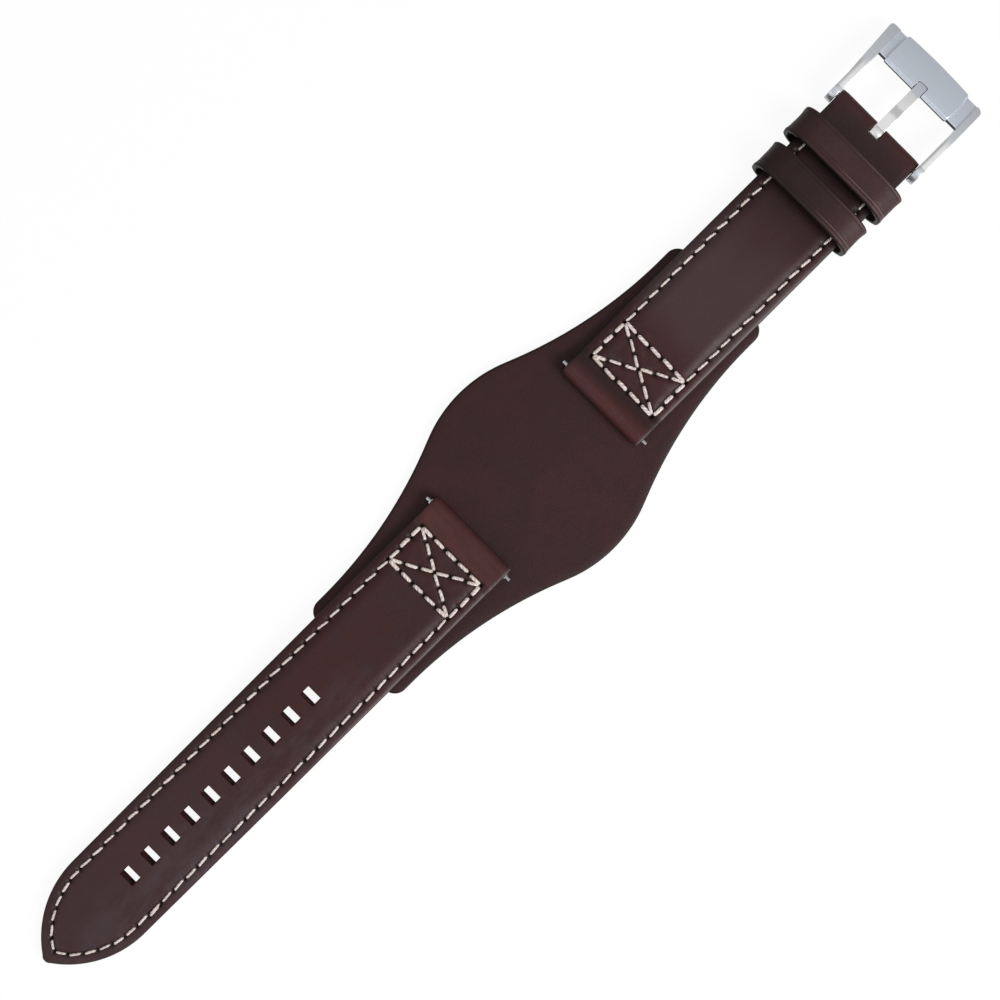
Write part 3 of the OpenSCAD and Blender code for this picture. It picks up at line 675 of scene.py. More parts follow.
def grain_stretch(half, rows, before, after):
    """The grain leather of a stretch, between its outer and inner faces, and the marks on it. The
    folds before and after its rows are paths round a bar."""
    over, under = [], []
    marks = {"shaded": [], "rubbed": [], "pierced": [], "glint": []}

    def shine(x, y, to_rim):
        """The light line along the rim that faces the lamp."""
        return 0.5 * (y < 0) * np.exp(-(((to_rim - 0.3) / 0.16) ** 2)) * smooth(96, 60, x)

    def add(outer, inner, *carried):
        over.append(outer)
        under.append(inner)
        for values, row in zip(marks.values(), carried):
            values.append(row)

    def folded(path):
        for x, z, nx, nz in path:
            ys = across(half, x)
            thick = LINING_T if nz < -0.99 else GRAIN_T
            to_rim = half.half_width(x) - np.abs(ys)
            drop = rounded(to_rim, RIM_R) + 0.12 * smooth(1.6, 0.2, to_rim)
            top = smooth(-0.3, 0.5, nz) * (x < 40)
            add(
                [(half.sign * (x - nx * d), y, PAD_T + z - nz * d) for y, d in zip(ys, drop)],
                [(half.sign * (x - nx * thick), y, PAD_T + z - nz * thick) for y in ys],
                # Dark dyed rims, and painted shade in the valley behind the fold.
                0.7 * smooth(0.3, 0.05, to_rim) + half.valley_shade * top * smooth(22.6, 25.2, x),
                top * half.band(x) * smooth(0.1, 1.2, to_rim),
                np.zeros(len(ys)),
                top * shine(x, ys, to_rim),
            )

    folded(before)
    for x in rows:
        base = half.base_z(x)
        waved = 1 - half.unpadded(x)
        spots = []
        for y in across(half, x):
            depth, hole, groove = half.pressed(x, y)
            level = base + half.thickness(x, y)
            to_rim = half.from_rim(x, y)
            side_x = half.sign * x
            pucker = waviness(side_x, y, 2.2, 0.12) * smooth(42, 37, x)
            pucker += waviness(side_x, y, 1.8, 0.07) * smooth(3.4, 2.2, to_rim)
            uneven = pucker * smooth(0.3, 1.5, to_rim) + waviness(side_x, y, 7.0, 0.06)
            drop = min(depth - uneven * waved + rounded(to_rim, RIM_R), GRAIN_T - 0.25)
            # Dark dyed rims; painted shade in the needle holes and stitch groove, on the border of the
            # side away from the lamp (y > 0) and in the valley behind the lug fold.
            at_rim = 0.7 * smooth(0.3, 0.05, to_rim)
            away = 0.22 * (y > 0) * smooth(2.3, 0.4, to_rim)
            dark = max(hole, 0.4 * groove, at_rim, away) + half.valley_shade * smooth(28.5, 26, x)
            spots.append(
                (
                    (side_x, y, level - drop),
                    (side_x, y, level - GRAIN_T),
                    min(1.0, dark),
                    half.band(x),
                    pierced(half, x, y, 0.02),
                    shine(x, y, to_rim),
                )
            )
        add(*zip(*spots))
    folded(after)
    return over, under, marks


def flat_stretch(half, rows, low, high, rim, ledge):
    """A plain layer from the height low to the height high(x, y) above the strap's underside. rim is the
    radius of its lower rim, and ledge is how far it stands into the far side of the tongue holes."""
    over, under, dark = [], [], []
    for x in rows:
        ys = across(half, x)
        base = half.base_z(x)
        far_rim = half.opened is in_hole and abs(hole_offset(x) - HOLE_LEN / 2) < 0.01
        xs = [half.sign * (x - ledge * (far_rim and abs(y) < half.middle + 0.01)) for y in ys]
        over.append([(px, y, base + high(x, y)) for px, y in zip(xs, ys)])
        drops = [rounded(half.from_rim(x, y), rim) if rim else 0.0 for y in ys]
        under.append([(px, y, base + low + d) for px, y, d in zip(xs, ys, drops)])
        # Within 0.5 mm of a tongue hole the holes' dark red is marked; on the lining it is painted shade
        # on the ledge that shows inside the hole.
        dark.append([pierced(half, x, y, 0.5) for y in ys])
    return over, under, {"pierced": dark}


def punched(places, over, opened):
    """Says which cells of a grid are cut out, by their distance from the pad's middle and their y."""
    middle_y = (over[:, 1:, 1] + over[:, :-1, 1]) / 2
    return lambda i, j: opened((places[i] + places[i + 1]) / 2, middle_y[i, j])


def placed(piece, half, part, n, finish, slot, *at_lug):
    """Gives a piece of the half's nth stretch its finish and hides the solids that it replaces. The
    first stretch replaces those at the lug too."""
    finished(piece, finish)
    body = "root" if n == 1 else f"{half.name}_{n - 1}"
    bend(piece, body, f"{half.name}_{n}", *half.bends[n - 1], half.sign)
    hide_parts(f"{half.name}_{part}_{n}", *(f"{half.name}_{solid}" for solid in at_lug if n == 1))


def layers(half, n):
    """Makes the grain leather, filler and lining of the half's nth stretch."""

    def made(part, shape, places, finish, slot, hole_rim, *at_lug):
        over, under, marks = shape
        gone = punched(places, np.array(over), half.opened)
        piece = slab(f"{half.name}_half_{part}_{n}", under, over, marks, gone, hole_rim)
        placed(piece, half, part, n, finish, slot, *at_lug)

    rows = rows_of(half, n)
    before = lug_fold if n == 1 else ()
    after = half.end_fold if n == len(half.bends) else ()
    places = [p[0] for p in before] + rows + [p[0] - SLOT_SLANT * (p[3] > 0) for p in after]
    shape = grain_stretch(half, rows, before, after)
    made("leather", shape, places, grain_leather, "grain_leather", 0.1, "lug_leather")
    shape = flat_stretch(half, rows, LINING_T, lambda x, y: half.thickness(x, y) - GRAIN_T, 0.0, 0.1)
    made("filler", shape, rows, edge_paint, "filler", 0.0, "lug_filler")
    rows = [x for x in rows if PAD_BEND_X + 0.1 < x < half.lining_to]
    shape = flat_stretch(half, rows, 0.0, lambda x, y: LINING_T, RIM_R, 0.25)
    made("lining", shape, rows, lining_leather, "lining", 0.0)


lug_tail = TAIL_END_X - LUG_BAR_X
lug_fold = bar_path(LUG_BAR_X, LUG_FOLD_R, LUG_FOLD_RUN, BOX_T, lug_tail, 1, 2.0, 2.0)[:-1]
for n in range(1, 6):
    layers(long_half, n)

# The long half's thread: waxed cream thread, sewn by machine. A heavier thread makes the box seam
# with its cross, which goes through the pad, and the edge seams run on to the tip and round it.
THREAD_GAP = 0.72
THREAD_SINK = 0.2
UNDER_THREAD = 0.85
UNDER_PROUD = 0.12

thread_finish = Finish("waxed_thread", Specular_IOR_Level=0.4)
thread_map = thread_finish.node("ShaderNodeTexCoord", output="UV")
round_it = thread_finish.node("ShaderNodeSeparateXYZ", {0: thread_map}, "X")
along_it = thread_finish.node("ShaderNodeSeparateXYZ", {0: thread_map}, "Y")
wound = round_it * 12.566 + along_it * 26.0
ply = wound.math("SINE", wound)
thread_finish.tone = colour(215, 203, 198)
thread_finish.tint(thread_finish.grain(2.5, 2.0).ramp(0.35, 0.7), colour(195, 181, 174))
# Painted shade in the grooves between the plies.
thread_finish.tint(ply.ramp(-0.4, -1.0) * 0.35, colour(150, 128, 112))
# Painted shade at the stitch ends that the mesh marks.
thread_finish.tint(thread_finish.mark("shaded"), colour(96, 74, 62))
thread_finish.feed("Roughness", thread_finish.grain(0.6) * 0.3 + 0.45)
thread_finish.bump(ply, 0.05)

ball = bpy.ops.mesh.primitive_uv_sphere_add
stitch_form = started(ball, "stitch_form", segments=12, ring_count=14, radius=1)
form = np.array([tuple(v.co) for v in stitch_form.data.vertices])
form_along = form[:, 2]
ball_width = np.maximum(np.sqrt(1 - np.clip(form_along**2, 0, 0.9999)), 0.02)
fullness = np.sqrt(np.clip(1 - np.abs(form_along) ** 7, 0, 1)) / ball_width
form_beside, form_up = form[:, 0] * fullness, form[:, 1] * fullness
stitch_mesh = stitch_form.data.copy()
bpy.data.objects.remove(stitch_form)
luck = np.random.default_rng(7)


def stitch(half, start, end, thread, level, below):
    """One stitch of the upper or lower thread, a little aslant, with its ends drawn into the leather."""
    way = (end - start) / np.linalg.norm(end - start)
    side = np.array((-way[1], way[0]))
    slant, length, drift = luck.normal(0.085, 0.03), luck.normal(1, 0.04), luck.normal(0, 0.08)
    slant = slant * (-1 if half.sign > 0 else np.sign(start[1] + end[1]))
    if (start + end)[0] / 2 <= BOX_FAR_X + 0.1:
        slant = 0.5 * slant
    reach = (np.linalg.norm(end - start) - THREAD_GAP) / 2 * min(1.08, length)
    thick = thread * (0.78 if below else 0.86)
    facing = -1 if below else 1
    along = form_along * reach
    beside = form_beside * thread / 2 * luck.normal(1, 0.06)
    beside = beside + slant * along * facing + drift * thread
    beside = beside + luck.normal(0, 0.045) * (1 - form_along**2)
    up = level - 0.2 * np.abs(form_along) ** 4 * facing + form_up * thick / 2
    spot = (start + end) / 2 + np.outer(along, way) + np.outer(beside, side)
    if not below:
        ease = np.array([half.base_z(x) for x in spot[:, 0]]) - half.base_z((start + end)[0] / 2)
        up = up + ease
    made = stitch_mesh.copy()
    where = np.column_stack([half.sign * spot[:, 0], spot[:, 1], up]) * MM
    made.vertices.foreach_set("co", where.astype(np.float32).ravel())
    # Painted shade at both ends of the stitch, where it goes into the leather.
    dark = made.attributes.new("shaded", "FLOAT", "POINT")
    dark.data.foreach_set("value", (0.7 * np.abs(form_along) ** 12).astype(np.float32))
    piece = bpy.data.objects.new("stitch", made)
    bpy.context.collection.objects.link(piece)
    return piece


def thread(half, n):
    """All the stitches of the half's nth stretch, above and below, as one piece."""
    low, high = half.cuts[n - 1 : n + 1]
    sewn = []
    for start, end, size in half.stitches:
        x, y = (start + end) / 2
        if not low <= x < high:
            continue
        level = half.base_z(x) + half.thickness(x, y) - THREAD_SINK + size * 0.34
        sewn.append(stitch(half, start, end, size, level, False))
        boxed = x <= BOX_FAR_X + 0.1
        if boxed or x > PAD_HALF_LEN + 1:
            level = (0.0 if boxed else half.base_z(x)) - UNDER_PROUD + size * 0.33
            sewn.append(stitch(half, start, end, size * UNDER_THREAD, level, True))
    bpy.ops.object.select_all(action="DESELECT")
    for piece in sewn:
        piece.select_set(True)
    bpy.context.view_layer.objects.active = sewn[0]
    bpy.ops.object.join()
    piece = bpy.context.active_object
    piece.name = piece.data.name = f"{half.name}_half_thread_{n}"
    if half.sign < 0:
        with editing():
            bpy.ops.mesh.normals_make_consistent(inside=False)
    bpy.ops.object.shade_smooth()
    placed(piece, half, "thread", n, thread_finish, "thread", "box_thread")


for n in range(1, 6):
    thread(long_half, n)

# The short half: made like the long one, folded round a lug bar at one end and round the buckle's
# bar at the other, where a slot lets the tongue through. Its edge seams end under the fixed keeper.
SHORT_Y = 11.95
SHORT_CUT = 51.5
SHORT_BENDS = ((40.0, 8.0), (63.0, 4.5))
SHORT_SEAM_END = 95.2
KEEPER_FIXED_X = 92.8
BUCKLE_BAR_X = 107.2
BUCKLE_FOLD_R = 1.95
BUCKLE_FOLD_RUN = 6.2
SLOT_HALF_W = 1.28
SLOT_BACK_X = 105.25

slot_run = BUCKLE_BAR_X - SLOT_BACK_X
buckle_tail = BUCKLE_BAR_X - SHORT_SEAM_END
slot_rims = slot_run - SLOT_SLANT, slot_run
buckle_fold = bar_path(
    BUCKLE_BAR_X, BUCKLE_FOLD_R, BUCKLE_FOLD_RUN, CROWN_END_T, buckle_tail, -1, *slot_rims
)
short_half = Half(
    name="short",
    sign=1,
    half_width=lambda x: SHORT_Y,
    from_rim=lambda x, y: SHORT_Y - abs(y),
    seam_y=lambda x: SHORT_Y - SEAM_IN,
    base_z=lambda x: PAD_T,
    crown_end=KEEPER_FIXED_X,
    flat_from=(96.0, 100.0),
    # Painted shade in the valley between the lug fold and the box seam.
    valley_shade=0.5,
    band=lambda x: 0.15 * smooth(25.0, 21.6, x),
    cuts=(FOLD_END_X, SHORT_CUT, BUCKLE_BAR_X - BUCKLE_FOLD_RUN),
    bends=SHORT_BENDS,
    lining_to=SHORT_SEAM_END,
    middle=SLOT_HALF_W,
    opened=lambda x, y: x > SLOT_BACK_X and abs(y) < SLOT_HALF_W,
    end_fold=buckle_fold[:-1][::-1],
)
short_half.sew_box()
short_count = round((SHORT_SEAM_END - BOX_FAR_X) / STITCH)
for side in (-1, 1):
    y = side * (SHORT_Y - SEAM_IN)
    short_half.sew((BOX_FAR_X, y), (SHORT_SEAM_END, y), short_count, EDGE_THREAD)
short_half.ready()
for n in (1, 2):
    layers(short_half, n)
    thread(short_half, n)

# The keepers: two bands of the same leather, bent to a loop and joined underneath. Lines are
# creased into them beside their rims. One is fixed to the short half, the other slides on it.
KEEPER_W = 7.2
KEEPER_T = 1.2
KEEPER_TOP = 9.2
KEEPER_CROWN = 0.25
KEEPER_RIM_R = 0.4
KEEPER_FLARE = 0.14
UPPER_CORNER = (5.4, 4.0)
LOWER_CORNER = (3.6, 3.0)
KEEPERS = (
    ("keeper_fixed", "fixed_keeper", "short_2", KEEPER_FIXED_X, 29.5, 0.6),
    ("keeper_free", "free_keeper", "keeper", 82.4, 28.4, 0.3),
)
CREASES = ((1.05, 0.1), (1.75, 0.08), (6.25, 0.1))

keeper_leather = leather(
    "keeper_leather", colour(54, 33, 33), colour(63, 37, 37), colour(52, 36, 37), colour(108, 90, 86)
)
keeper_y = keeper_leather.axis("Y") + keeper_leather.grain(4, 2.0) * 5 - 2.5
# Painted shade: darker towards +Y, the side away from the lamp, most on the free keeper, which is also a
# little darker all over.
free_keeper_shade = keeper_leather.axis("X").ramp(92.0, 91.0) * (keeper_y.ramp(-10, 0) * 0.65 + 0.2)
keeper_leather.tint(free_keeper_shade + keeper_y.ramp(2, 13) * 0.5, colour(35, 19, 18))
keeper_leather.darkened()
rim_columns = np.array([0, 0.03, 0.09, 0.18, 0.3, 0.45])
inner_columns = [np.linspace(0.6, 2.2, 17), np.linspace(2.6, 5.4, 8), np.linspace(5.6, 6.6, 11)]
columns = np.concatenate([rim_columns, *inner_columns, KEEPER_W - rim_columns[::-1]])
to_rim = np.minimum(columns, KEEPER_W - columns)
rim_drop = rounded(to_rim, KEEPER_RIM_R)
creases = sum(depth * np.exp(-(((columns - at) / 0.14) ** 2)) for at, depth in CREASES)
# Painted highlights between the two creases by one rim and just inside both rims.
worn_and_lit = 0.25 * np.exp(-(((to_rim - 0.65) / 0.2) ** 2)) + 0.6 * np.exp(-(((columns - 1.4) / 0.16) ** 2))


def keeper_loop(width, low, high):
    """The outer line of a band, once round from the middle of its underside, with normals."""
    corners = []
    for quarter, (wide, tall) in enumerate((LOWER_CORNER, UPPER_CORNER, UPPER_CORNER, LOWER_CORNER)):
        cx = (width / 2 - wide) * (1, 1, -1, -1)[quarter]
        cz = low + tall if quarter in (0, 3) else high - tall
        for turn in np.linspace(0, math.pi / 2, 14) + (quarter - 1) * math.pi / 2:
            aside, up = math.cos(turn), math.sin(turn)
            steep = math.hypot(tall * aside, wide * up)
            corners.append((cx + wide * aside, cz + tall * up, tall * aside / steep, wide * up / steep))
    points = [(0.06, low, 0.0, -1.0)] + corners + [(-0.06, low, 0.0, -1.0)]
    filled = []
    for a, b in zip(points, points[1:]):
        steps = max(1, round(math.hypot(b[0] - a[0], b[1] - a[1]) / 0.7))
        filled += [tuple(np.array(a) + (np.array(b) - np.array(a)) * k / steps) for k in range(steps)]
    return filled + [points[-1]]


for name, node, body, x, width, low in KEEPERS:
    over, under, shaded, rubbed = [], [], [], []
    for y, z, ny, nz in keeper_loop(width, low, KEEPER_TOP):
        worked = smooth(-0.9, -0.2, nz)
        flare = KEEPER_FLARE * smooth(0.3, 1.0, abs(ny)) + 0.06
        flare = np.exp(-((to_rim / 1.2) ** 2)) * flare * worked
        crease = creases * worked
        crown = KEEPER_CROWN * max(0.0, 1 - (2.6 * y / width) ** 2) * (nz > 0)
        uneven = np.array([waviness(x + c, y + 2 * z, 4.0, 0.09) for c in columns]) * worked
        lift = flare + crown - crease + uneven
        for face, height in ((over, lift - rim_drop), (under, lift * 0.6 - KEEPER_T + rim_drop * 0.6)):
            face.append(np.column_stack([x + columns, y + ny * height, z + nz * height]))
        # Dark dyed rims, and painted shade in the creases.
        shaded.append(0.75 * smooth(0.5, 0.1, to_rim) + 0.3 * np.clip(crease / 0.1, 0, 1))
        # The painted highlights are kept to the half that faces the lamp (y < 0).
        rubbed.append(worn_and_lit * smooth(3, -6, y))
    piece = slab(name, under, over, {"shaded": shaded, "rubbed": rubbed})
    finished(piece, keeper_leather)
    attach(piece, body)
    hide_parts(node)

# The buckle: a satin steel frame of two arched legs and a front bar with a raised plate, which is
# left plain, and a tongue that turns on the same bar and drops into a notch in the plate. Its
# places are counted from the bar's axis, and it leans down until its front rests on the table.
BUCKLE_Z = 3.75
ARCH_R = 50.0
ARCH_TOP = 3.0
ARCH_X = 9.0
LEG_Y = 12.15
LEG_T = 1.7
LEG_FLARE_X = 4.3
LEG_ENDS = {-1: (-0.1, -0.2, 1.4), 1: (1.15, 0.0, 0.95)}
LEG_LEN = 20.4
LEG_H = 3.5
LEG_END_R = 2.5
LEG_STEP = 0.35
LEG_START_X = 0.9
FRONT_X = 13.0
FRONT_Y = LEG_Y + 0.8
FRONT_W = 7.35
FRONT_T = 1.5
PLATE_X = 12.45
PLATE_W = 8.6
PLATE_Y = 9.65
PLATE_SHIFT_Y = 0.55
PLATE_RISE = 0.6
PLATE_BOW_R = 150.0
PLATE_T = 1.75
TONGUE_START_X = 0.6
TONGUE_Y = 1.22
TONGUE_T = 1.0
TONGUE_LEN = 14.4
TONGUE_ARC = (9.56, -20.28, 23.79)
TONGUE_RING_R = 1.95
TONGUE_BORE_R = 0.8
NOTCH_GAP = 0.16
SEAM_MERGE = 0.05
CORNER_MERGE = 0.004
FRONT_LOW_Z = 1.898
BUCKLE_TILT = math.asin(BUCKLE_Z / math.hypot(LEG_LEN, FRONT_LOW_Z)) - math.atan2(FRONT_LOW_Z, LEG_LEN)


def steel(name, base, roughness, brushed):
    """Satin steel, brushed along the direction in which its fine noise is stretched."""
    finish = Finish(name, Metallic=1.0)
    lines = finish.grain(0.16, 2.0, 0.5, stretch=brushed)
    clouds = finish.grain(5, 2.0)
    finish.feed("Roughness", lines * 0.1 + clouds * 0.1 + roughness)
    finish.bump(lines, 0.004)
    finish.tone = base
    finish.tint((lines * 0.4 + clouds * 0.6).ramp(0.3, 0.7), scaled(base, 0.93))
    return finish


plate_steel = steel("plate_steel", colour(221, 228, 238), 0.4, (1, 0.04, 1))
# Painted dark reflection on the low part of the plate's rear face.
dark_rear_reflection = plate_steel.axis("X").ramp(120.6, 120.3) * plate_steel.axis("Z").ramp(4.8, 4.35)
plate_steel.tint(dark_rear_reflection, colour(52, 52, 54))
leg_steel = steel("leg_steel", colour(226, 230, 236), 0.3, (0.05, 1, 1))
leg_x = leg_steel.axis("X") + leg_steel.grain(3, 2.0) * 1.5 - 0.75
leg_y = leg_steel.axis("Y")
# Painted highlight over the middle of each leg on the half that faces the lamp, painted shade on the
# other half, and painted shade at the rear ends.
lit_side = leg_y.ramp(13.9, 12.9) * leg_y.ramp(0, 1) + leg_y.ramp(-12.3, -12.9)
highlight_band = leg_x.ramp(106.4, 108.6) * leg_x.ramp(117.6, 115.0)
leg_steel.tint(highlight_band * lit_side, colour(254, 254, 254))
leg_steel.tint(highlight_band * (1 - lit_side), colour(200, 201, 203))
leg_steel.tint(leg_x.ramp(106.4, 105.2) * 0.35, colour(120, 119, 118))
tongue_steel = steel("tongue_steel", colour(250, 250, 251), 0.28, (1, 0.05, 1))
tongue_x = tongue_steel.axis("X") + tongue_steel.grain(1.2, 2.0) * 0.8 - 0.4
# Painted reflections: a darker band across the tongue, and the plate's blue-grey at the tip that lies in
# the notch.
dark_reflection_band = tongue_x.ramp(111.2, 112.4) * tongue_x.ramp(114.4, 113.4)
tongue_steel.tint(dark_reflection_band, colour(206, 207, 209))
tongue_steel.tint(tongue_x.ramp(118.1, 118.6), colour(226, 231, 241))


def settled(piece):
    """Puts the active piece's place, turn and size into its mesh."""
    bpy.ops.object.transform_apply(location=True, rotation=True, scale=True)
    return piece


def arc_bar(name, arc, thick, x_from, x_to, y_low, y_high, steps, columns=1):
    """A bar swept along a circle about an axis across the strap. arc holds the circle's middle and the
    radius of the bar's outer face."""
    middle_x, middle_z, radius = arc
    first, last = (math.asin((x - middle_x) / radius) for x in (x_from, x_to))
    reach = radius - thick / 2
    start_x, start_z = middle_x + reach * math.sin(first), middle_z + reach * math.cos(first)
    bar = started(
        bpy.ops.mesh.primitive_grid_add,
        name,
        x_subdivisions=1,
        y_subdivisions=columns,
        size=1,
        location=Vector((start_x, (y_low + y_high) / 2, start_z)) * MM,
        rotation=(0, math.pi / 2 + first, 0),
    )
    bar.scale = Vector((thick, y_high - y_low, 1)) * MM
    settled(bar)
    middle = Vector((middle_x, 0, middle_z)) * MM
    turn = {"angle": first - last, "center": middle, "axis": (0, 1, 0), "use_normal_flip": False}
    with editing():
        bpy.ops.mesh.spin(steps=steps, **turn)
        bpy.ops.mesh.select_all(action="SELECT")
        bpy.ops.mesh.remove_doubles(threshold=0.001 * MM)
        bpy.ops.mesh.normals_make_consistent(inside=False)
    return bar


def cylinder(radius, y_low, y_high):
    """A disc or a drill across the strap, about the bar's axis."""
    size = {"vertices": 64, "radius": radius * MM, "depth": (y_high - y_low) * MM}
    place = {"location": (0, (y_low + y_high) / 2 * MM, 0), "rotation": (math.pi / 2, 0, 0)}
    return settled(started(bpy.ops.mesh.primitive_cylinder_add, "cylinder", **size, **place))


def taken(piece):
    """Selects a piece alone and makes it the active one."""
    bpy.ops.object.select_all(action="DESELECT")
    piece.select_set(True)
    bpy.context.view_layer.objects.active = piece


def clear_tiny(piece, merge, join_flats):
    """Merges points nearer than merge millimetres, and can join faces that lie in one plane."""
    taken(piece)
    with editing():
        bpy.ops.mesh.remove_doubles(threshold=merge * MM)
        if join_flats:
            bpy.ops.mesh.dissolve_limited(angle_limit=math.radians(0.3))


def combine(piece, other, operation, merge=SEAM_MERGE):
    """Joins another solid to a piece, or cuts it away, and clears what the cut leaves of tiny edges."""
    taken(piece)
    changed(piece, "BOOLEAN", operation=operation, solver="EXACT", object=other)
    bpy.data.objects.remove(other)
    clear_tiny(piece, merge, True)


def round_edges(piece, width, segments, chosen=None, angle=40):
    """Bevels the edges whose ends, in millimetres, are chosen, or else all that turn more than angle."""
    bpy.context.view_layer.objects.active = piece
    limit = {"limit_method": "ANGLE", "angle_limit": math.radians(angle)}
    if chosen:
        limit = {"limit_method": "WEIGHT"}
        mesh, kind = piece.data, "bevel_weight_edge"
        weight = mesh.attributes.get(kind) or mesh.attributes.new(kind, "FLOAT", "EDGE")
        for edge in mesh.edges:
            a, b = (mesh.vertices[v].co / MM for v in edge.vertices)
            weight.data[edge.index].value = float(chosen(a, b))
    changed(piece, "BEVEL", width=width * MM, segments=segments, **limit)


def at_bar(piece, finish, body, node):
    """Smooths a finished metal piece, leans it with the buckle and puts it on the bar."""
    clear_tiny(piece, CORNER_MERGE, False)
    bpy.ops.object.shade_smooth_by_angle(angle=math.radians(40))
    piece.rotation_euler = Euler((0, BUCKLE_TILT, 0))
    piece.location = Vector((BUCKLE_BAR_X, 0, BUCKLE_Z)) * MM
    settled(piece)
    changed(piece, "WEIGHTED_NORMAL", keep_sharp=True)
    finished(piece, finish)
    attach(piece, body)
    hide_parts(node)


def outer_front(a, b):
    """The upright edge at the outer front corner of a leg."""
    outside = min(abs(a.y), abs(b.y)) > LEG_Y + 0.5
    return min(a.x, b.x) > LEG_LEN - 1.1 and outside and abs(a.z - b.z) > 1


arch_middle = ARCH_X, ARCH_TOP - ARCH_R
for side, word in ((-1, "right"), (1, "left")):
    ends_y = sorted((side * LEG_Y, side * (LEG_Y + LEG_T)))
    arch = (*arch_middle, ARCH_R)
    leg = arc_bar(f"buckle_leg_{word}", arch, LEG_H, LEG_START_X, LEG_LEN, *ends_y, 12)
    outer_flare, inner_flare, front_r = LEG_ENDS[side]
    for vertex in leg.data.vertices:
        forward = max(0.0, vertex.co.x / MM - LEG_FLARE_X) / (LEG_LEN - LEG_FLARE_X)
        outer = abs(vertex.co.y) > (LEG_Y + LEG_T / 2) * MM
        vertex.co.y += side * forward * (outer_flare if outer else inner_flare) * MM
    combine(leg, cylinder(LEG_END_R, *ends_y), "UNION")
    round_edges(leg, front_r, 5, outer_front)
    round_edges(leg, 0.5, 4, angle=50)
    at_bar(leg, leg_steel, "buckle", "buckle_frame")

plate_top = ARCH_R + PLATE_RISE - LEG_STEP
front_arc = (*arch_middle, ARCH_R - LEG_STEP)
front_end_x = FRONT_X + FRONT_W
front_bar = arc_bar(
    "buckle_front_bar", front_arc, FRONT_T, FRONT_X, front_end_x, -FRONT_Y, FRONT_Y, 10
)
plate_arc = (*arch_middle, plate_top)
plate_end_x = PLATE_X + PLATE_W
plate = arc_bar(
    "buckle_plate", plate_arc, PLATE_T, PLATE_X, plate_end_x, -PLATE_Y, PLATE_Y, 5, 16
)
for vertex in plate.data.vertices:
    forward = (vertex.co.x / MM - PLATE_X) / PLATE_W
    vertex.co.x -= forward * (vertex.co.y / MM) ** 2 / (2 * PLATE_BOW_R) * MM
notch_x = TONGUE_LEN + NOTCH_GAP
notch_top = arch_middle[1] + math.sqrt(plate_top**2 - (TONGUE_LEN - ARCH_X) ** 2)
notch_floor = notch_top - TONGUE_T - 0.1


def runs_along(a, b, least):
    """Whether an edge runs in the plane of the arch, and for more than least millimetres."""
    return abs(a.y - b.y) < 0.01 and math.hypot(a.x - b.x, a.z - b.z) > least


def plate_side(a, b):
    """Edges of the plate's two ends that run across its face or through its thickness."""
    return min(abs(a.y), abs(b.y)) > PLATE_Y - 0.01 and runs_along(a, b, 1.2)


def plate_back(a, b):
    """The upper edge of the plate's back, and of what the notch leaves of it."""
    return max(a.x, b.x) < PLATE_X + 0.5 and min(a.z, b.z) > 2.2 and abs(a.y - b.y) > 0.01


round_edges(plate, 0.5, 4, lambda a, b: plate_side(a, b) and min(a.x, b.x) > plate_end_x - 2)
round_edges(plate, 0.4, 3, lambda a, b: plate_side(a, b) and max(a.x, b.x) < PLATE_X + 0.3)
for vertex in plate.data.vertices:
    vertex.co.y += PLATE_SHIFT_Y * MM
for bar in (front_bar, plate):
    place = Vector((notch_x - 3, 0, notch_floor + 2)) * MM
    cutter = started(bpy.ops.mesh.primitive_cube_add, "cutter", size=1, location=place)
    cutter.scale = Vector((6, 2 * (TONGUE_Y + NOTCH_GAP), 4)) * MM
    settled(cutter)
    round_edges(cutter, 0.45, 4, lambda a, b: abs(a.z - b.z) > 1 and min(a.x, b.x) > notch_x - 1)
    combine(bar, cutter, "DIFFERENCE")
round_edges(plate, 0.35, 3, plate_back)
round_edges(plate, 0.1, 2, angle=40)
round_edges(front_bar, 0.15, 2)
at_bar(front_bar, plate_steel, "buckle", "buckle_frame")
at_bar(plate, plate_steel, "buckle", "buckle_frame")

tongue_ends = TONGUE_START_X, TONGUE_LEN, -TONGUE_Y, TONGUE_Y
tongue = arc_bar("buckle_tongue_bar", TONGUE_ARC, TONGUE_T, *tongue_ends, 20)
combine(tongue, cylinder(TONGUE_RING_R, -TONGUE_Y, TONGUE_Y), "UNION")
combine(tongue, cylinder(TONGUE_BORE_R, -3, 3), "DIFFERENCE", CORNER_MERGE)
round_edges(
    tongue, 0.45, 4, lambda a, b: min(a.x, b.x) > TONGUE_LEN - 0.4 and runs_along(a, b, 0.8)
)
round_edges(tongue, 0.18, 3, angle=50)
at_bar(tongue, tongue_steel, "tongue", "buckle_tongue")

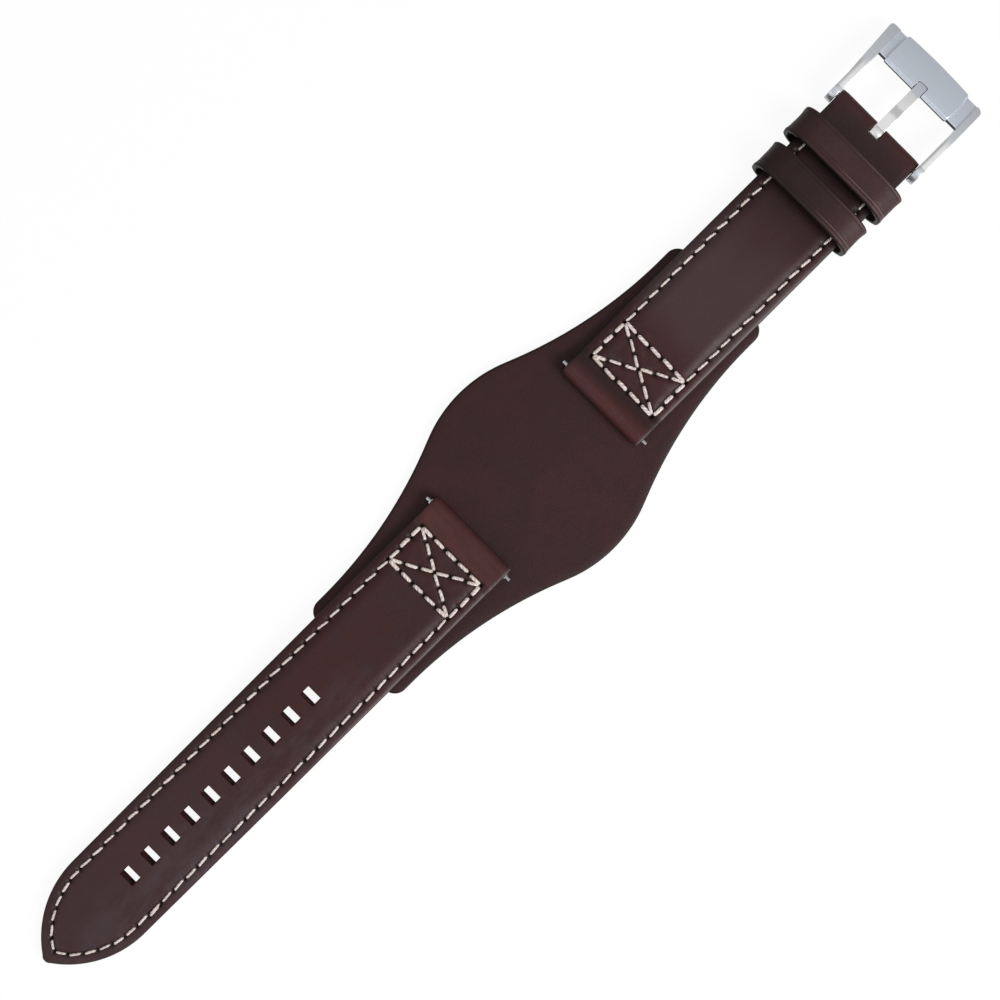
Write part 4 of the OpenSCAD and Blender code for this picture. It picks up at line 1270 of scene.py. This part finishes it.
# The three spring bars: steel tubes with a plunger at each end and a coil spring between them.
# Tubes and plungers keep the imported part's solids, with a polished finish. Each spring is wound
# as two halves from the tube's middle.
BARS = {
    "long_lug": (-LUG_BAR_X, PAD_T + LUG_FOLD_R, 0.55, 8.35),
    "short_lug": (LUG_BAR_X, PAD_T + LUG_FOLD_R, 0.55, 8.35),
    "buckle": (BUCKLE_BAR_X, BUCKLE_Z, 0.4, 8.45),
}
WIRE_R = 0.12
HALF_TURNS = 4.5
COIL_STEPS = 54
bar_steel = steel("bar_steel", colour(192, 193, 195), 0.16, (1, 0.2, 1))
spring_steel = steel("spring_steel", colour(186, 188, 192), 0.26, (1, 1, 1))
for name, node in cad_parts.items():
    if "_bar_" in name and not name.endswith("_spring"):
        finished(node, bar_steel)
for bar, (bar_x, bar_z, coil_r, reach) in BARS.items():
    for side, word in ((1, "left"), (-1, "right")):
        ring = bpy.ops.mesh.primitive_circle_add
        size = {"vertices": 8, "radius": WIRE_R * MM, "location": (coil_r * MM, 0, 0)}
        coil = settled(started(ring, f"{bar}_bar_coil_{word}", **size))
        changed(
            coil,
            "SCREW",
            axis="Y",
            angle=side * HALF_TURNS * 2 * math.pi,
            screw_offset=side * reach * MM,
            steps=COIL_STEPS,
            render_steps=COIL_STEPS,
        )
        with editing():
            bpy.ops.mesh.fill_holes(sides=8)
            bpy.ops.mesh.select_all(action="SELECT")
            bpy.ops.mesh.normals_make_consistent(inside=False)
        coil.location = Vector((bar_x, 0, bar_z)) * MM
        settled(coil)
        bpy.ops.object.shade_smooth_by_angle(angle=math.radians(50))
        finished(coil, spring_steel)
        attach(coil, f"{bar}_bar")
        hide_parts(f"{bar}_bar_spring")
        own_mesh(coil)

# Floor, light and camera: a pale table, soft studio light from the lower right of the picture, and
# the camera straight above, turned so that the strap lies corner to corner.
FLOOR_Z = -0.16

place = (0, 0, FLOOR_Z * MM)
floor = settled(started(bpy.ops.mesh.primitive_plane_add, "floor", size=6, location=place))
floor_finish = Finish("floor", Base_Color=(0.9, 0.9, 0.9, 1), Roughness=0.9)
camera_ray, glossy_ray, clear_ray = (
    floor_finish.node("ShaderNodeLightPath", output=f"Is {kind} Ray")
    for kind in ("Camera", "Glossy", "Transmission")
)
seen = (camera_ray + glossy_ray + clear_ray).ramp(0.0, 1.0) * 0.92
lit = Value(floor_finish, floor_finish.shader.outputs[0])
glow = floor_finish.node("ShaderNodeEmission", {"Strength": 1.0})
surface = floor_finish.node("ShaderNodeMixShader", {0: seen, 1: lit, 2: glow})
floor_finish.links.new(surface.socket, floor_finish.nodes["Material Output"].inputs["Surface"])
floor.data.materials.append(floor_finish.material)

world = bpy.data.worlds.new("studio")
sky = Shading(world)
sky_up = sky.node("ShaderNodeTexCoord", output="Generated")
sky_height = sky.node("ShaderNodeSeparateXYZ", {0: sky_up}, "Z")
sky_ends = {"From Min": 0.0, "From Max": 1.0, "To Min": 0.3, "To Max": 0.62}
sky_level = sky.node("ShaderNodeMapRange", {"Value": sky_height, **sky_ends})
background = sky.nodes["Background"].inputs
background["Color"].default_value = (1, 1, 1, 1)
sky.links.new(sky_level.socket, background["Strength"])
bpy.context.scene.world = world


def lamp(name, size, power, place):
    """A round soft lamp that looks at the middle of the strap."""
    light = bpy.data.lights.new(name, "AREA")
    light.shape = "DISK"
    light.size = size
    light.energy = power
    made = bpy.data.objects.new(name, light)
    made.location = place
    made.rotation_euler = (-Vector(place)).to_track_quat("-Z", "Y").to_euler()
    bpy.context.collection.objects.link(made)


lamp("key", 0.5, 6.6, (0.1, -0.62, 0.62))
lamp("low", 0.45, 1.4, (0.1, -0.8, 0.22))
lamp("rear", 0.4, 0.8, (-0.7, 0.15, 0.5))

camera = bpy.data.cameras.new("camera")
camera.lens = 54.05
camera.sensor_width = 36
camera.clip_start = 0.01
eye = bpy.data.objects.new("camera", camera)
eye.location = (-0.0104, 0.00114, 0.340)
eye.rotation_euler = (0, 0, math.radians(-44.9))
bpy.context.collection.objects.link(eye)
bpy.context.scene.camera = eye
bpy.context.scene.view_settings.view_transform = "Standard"
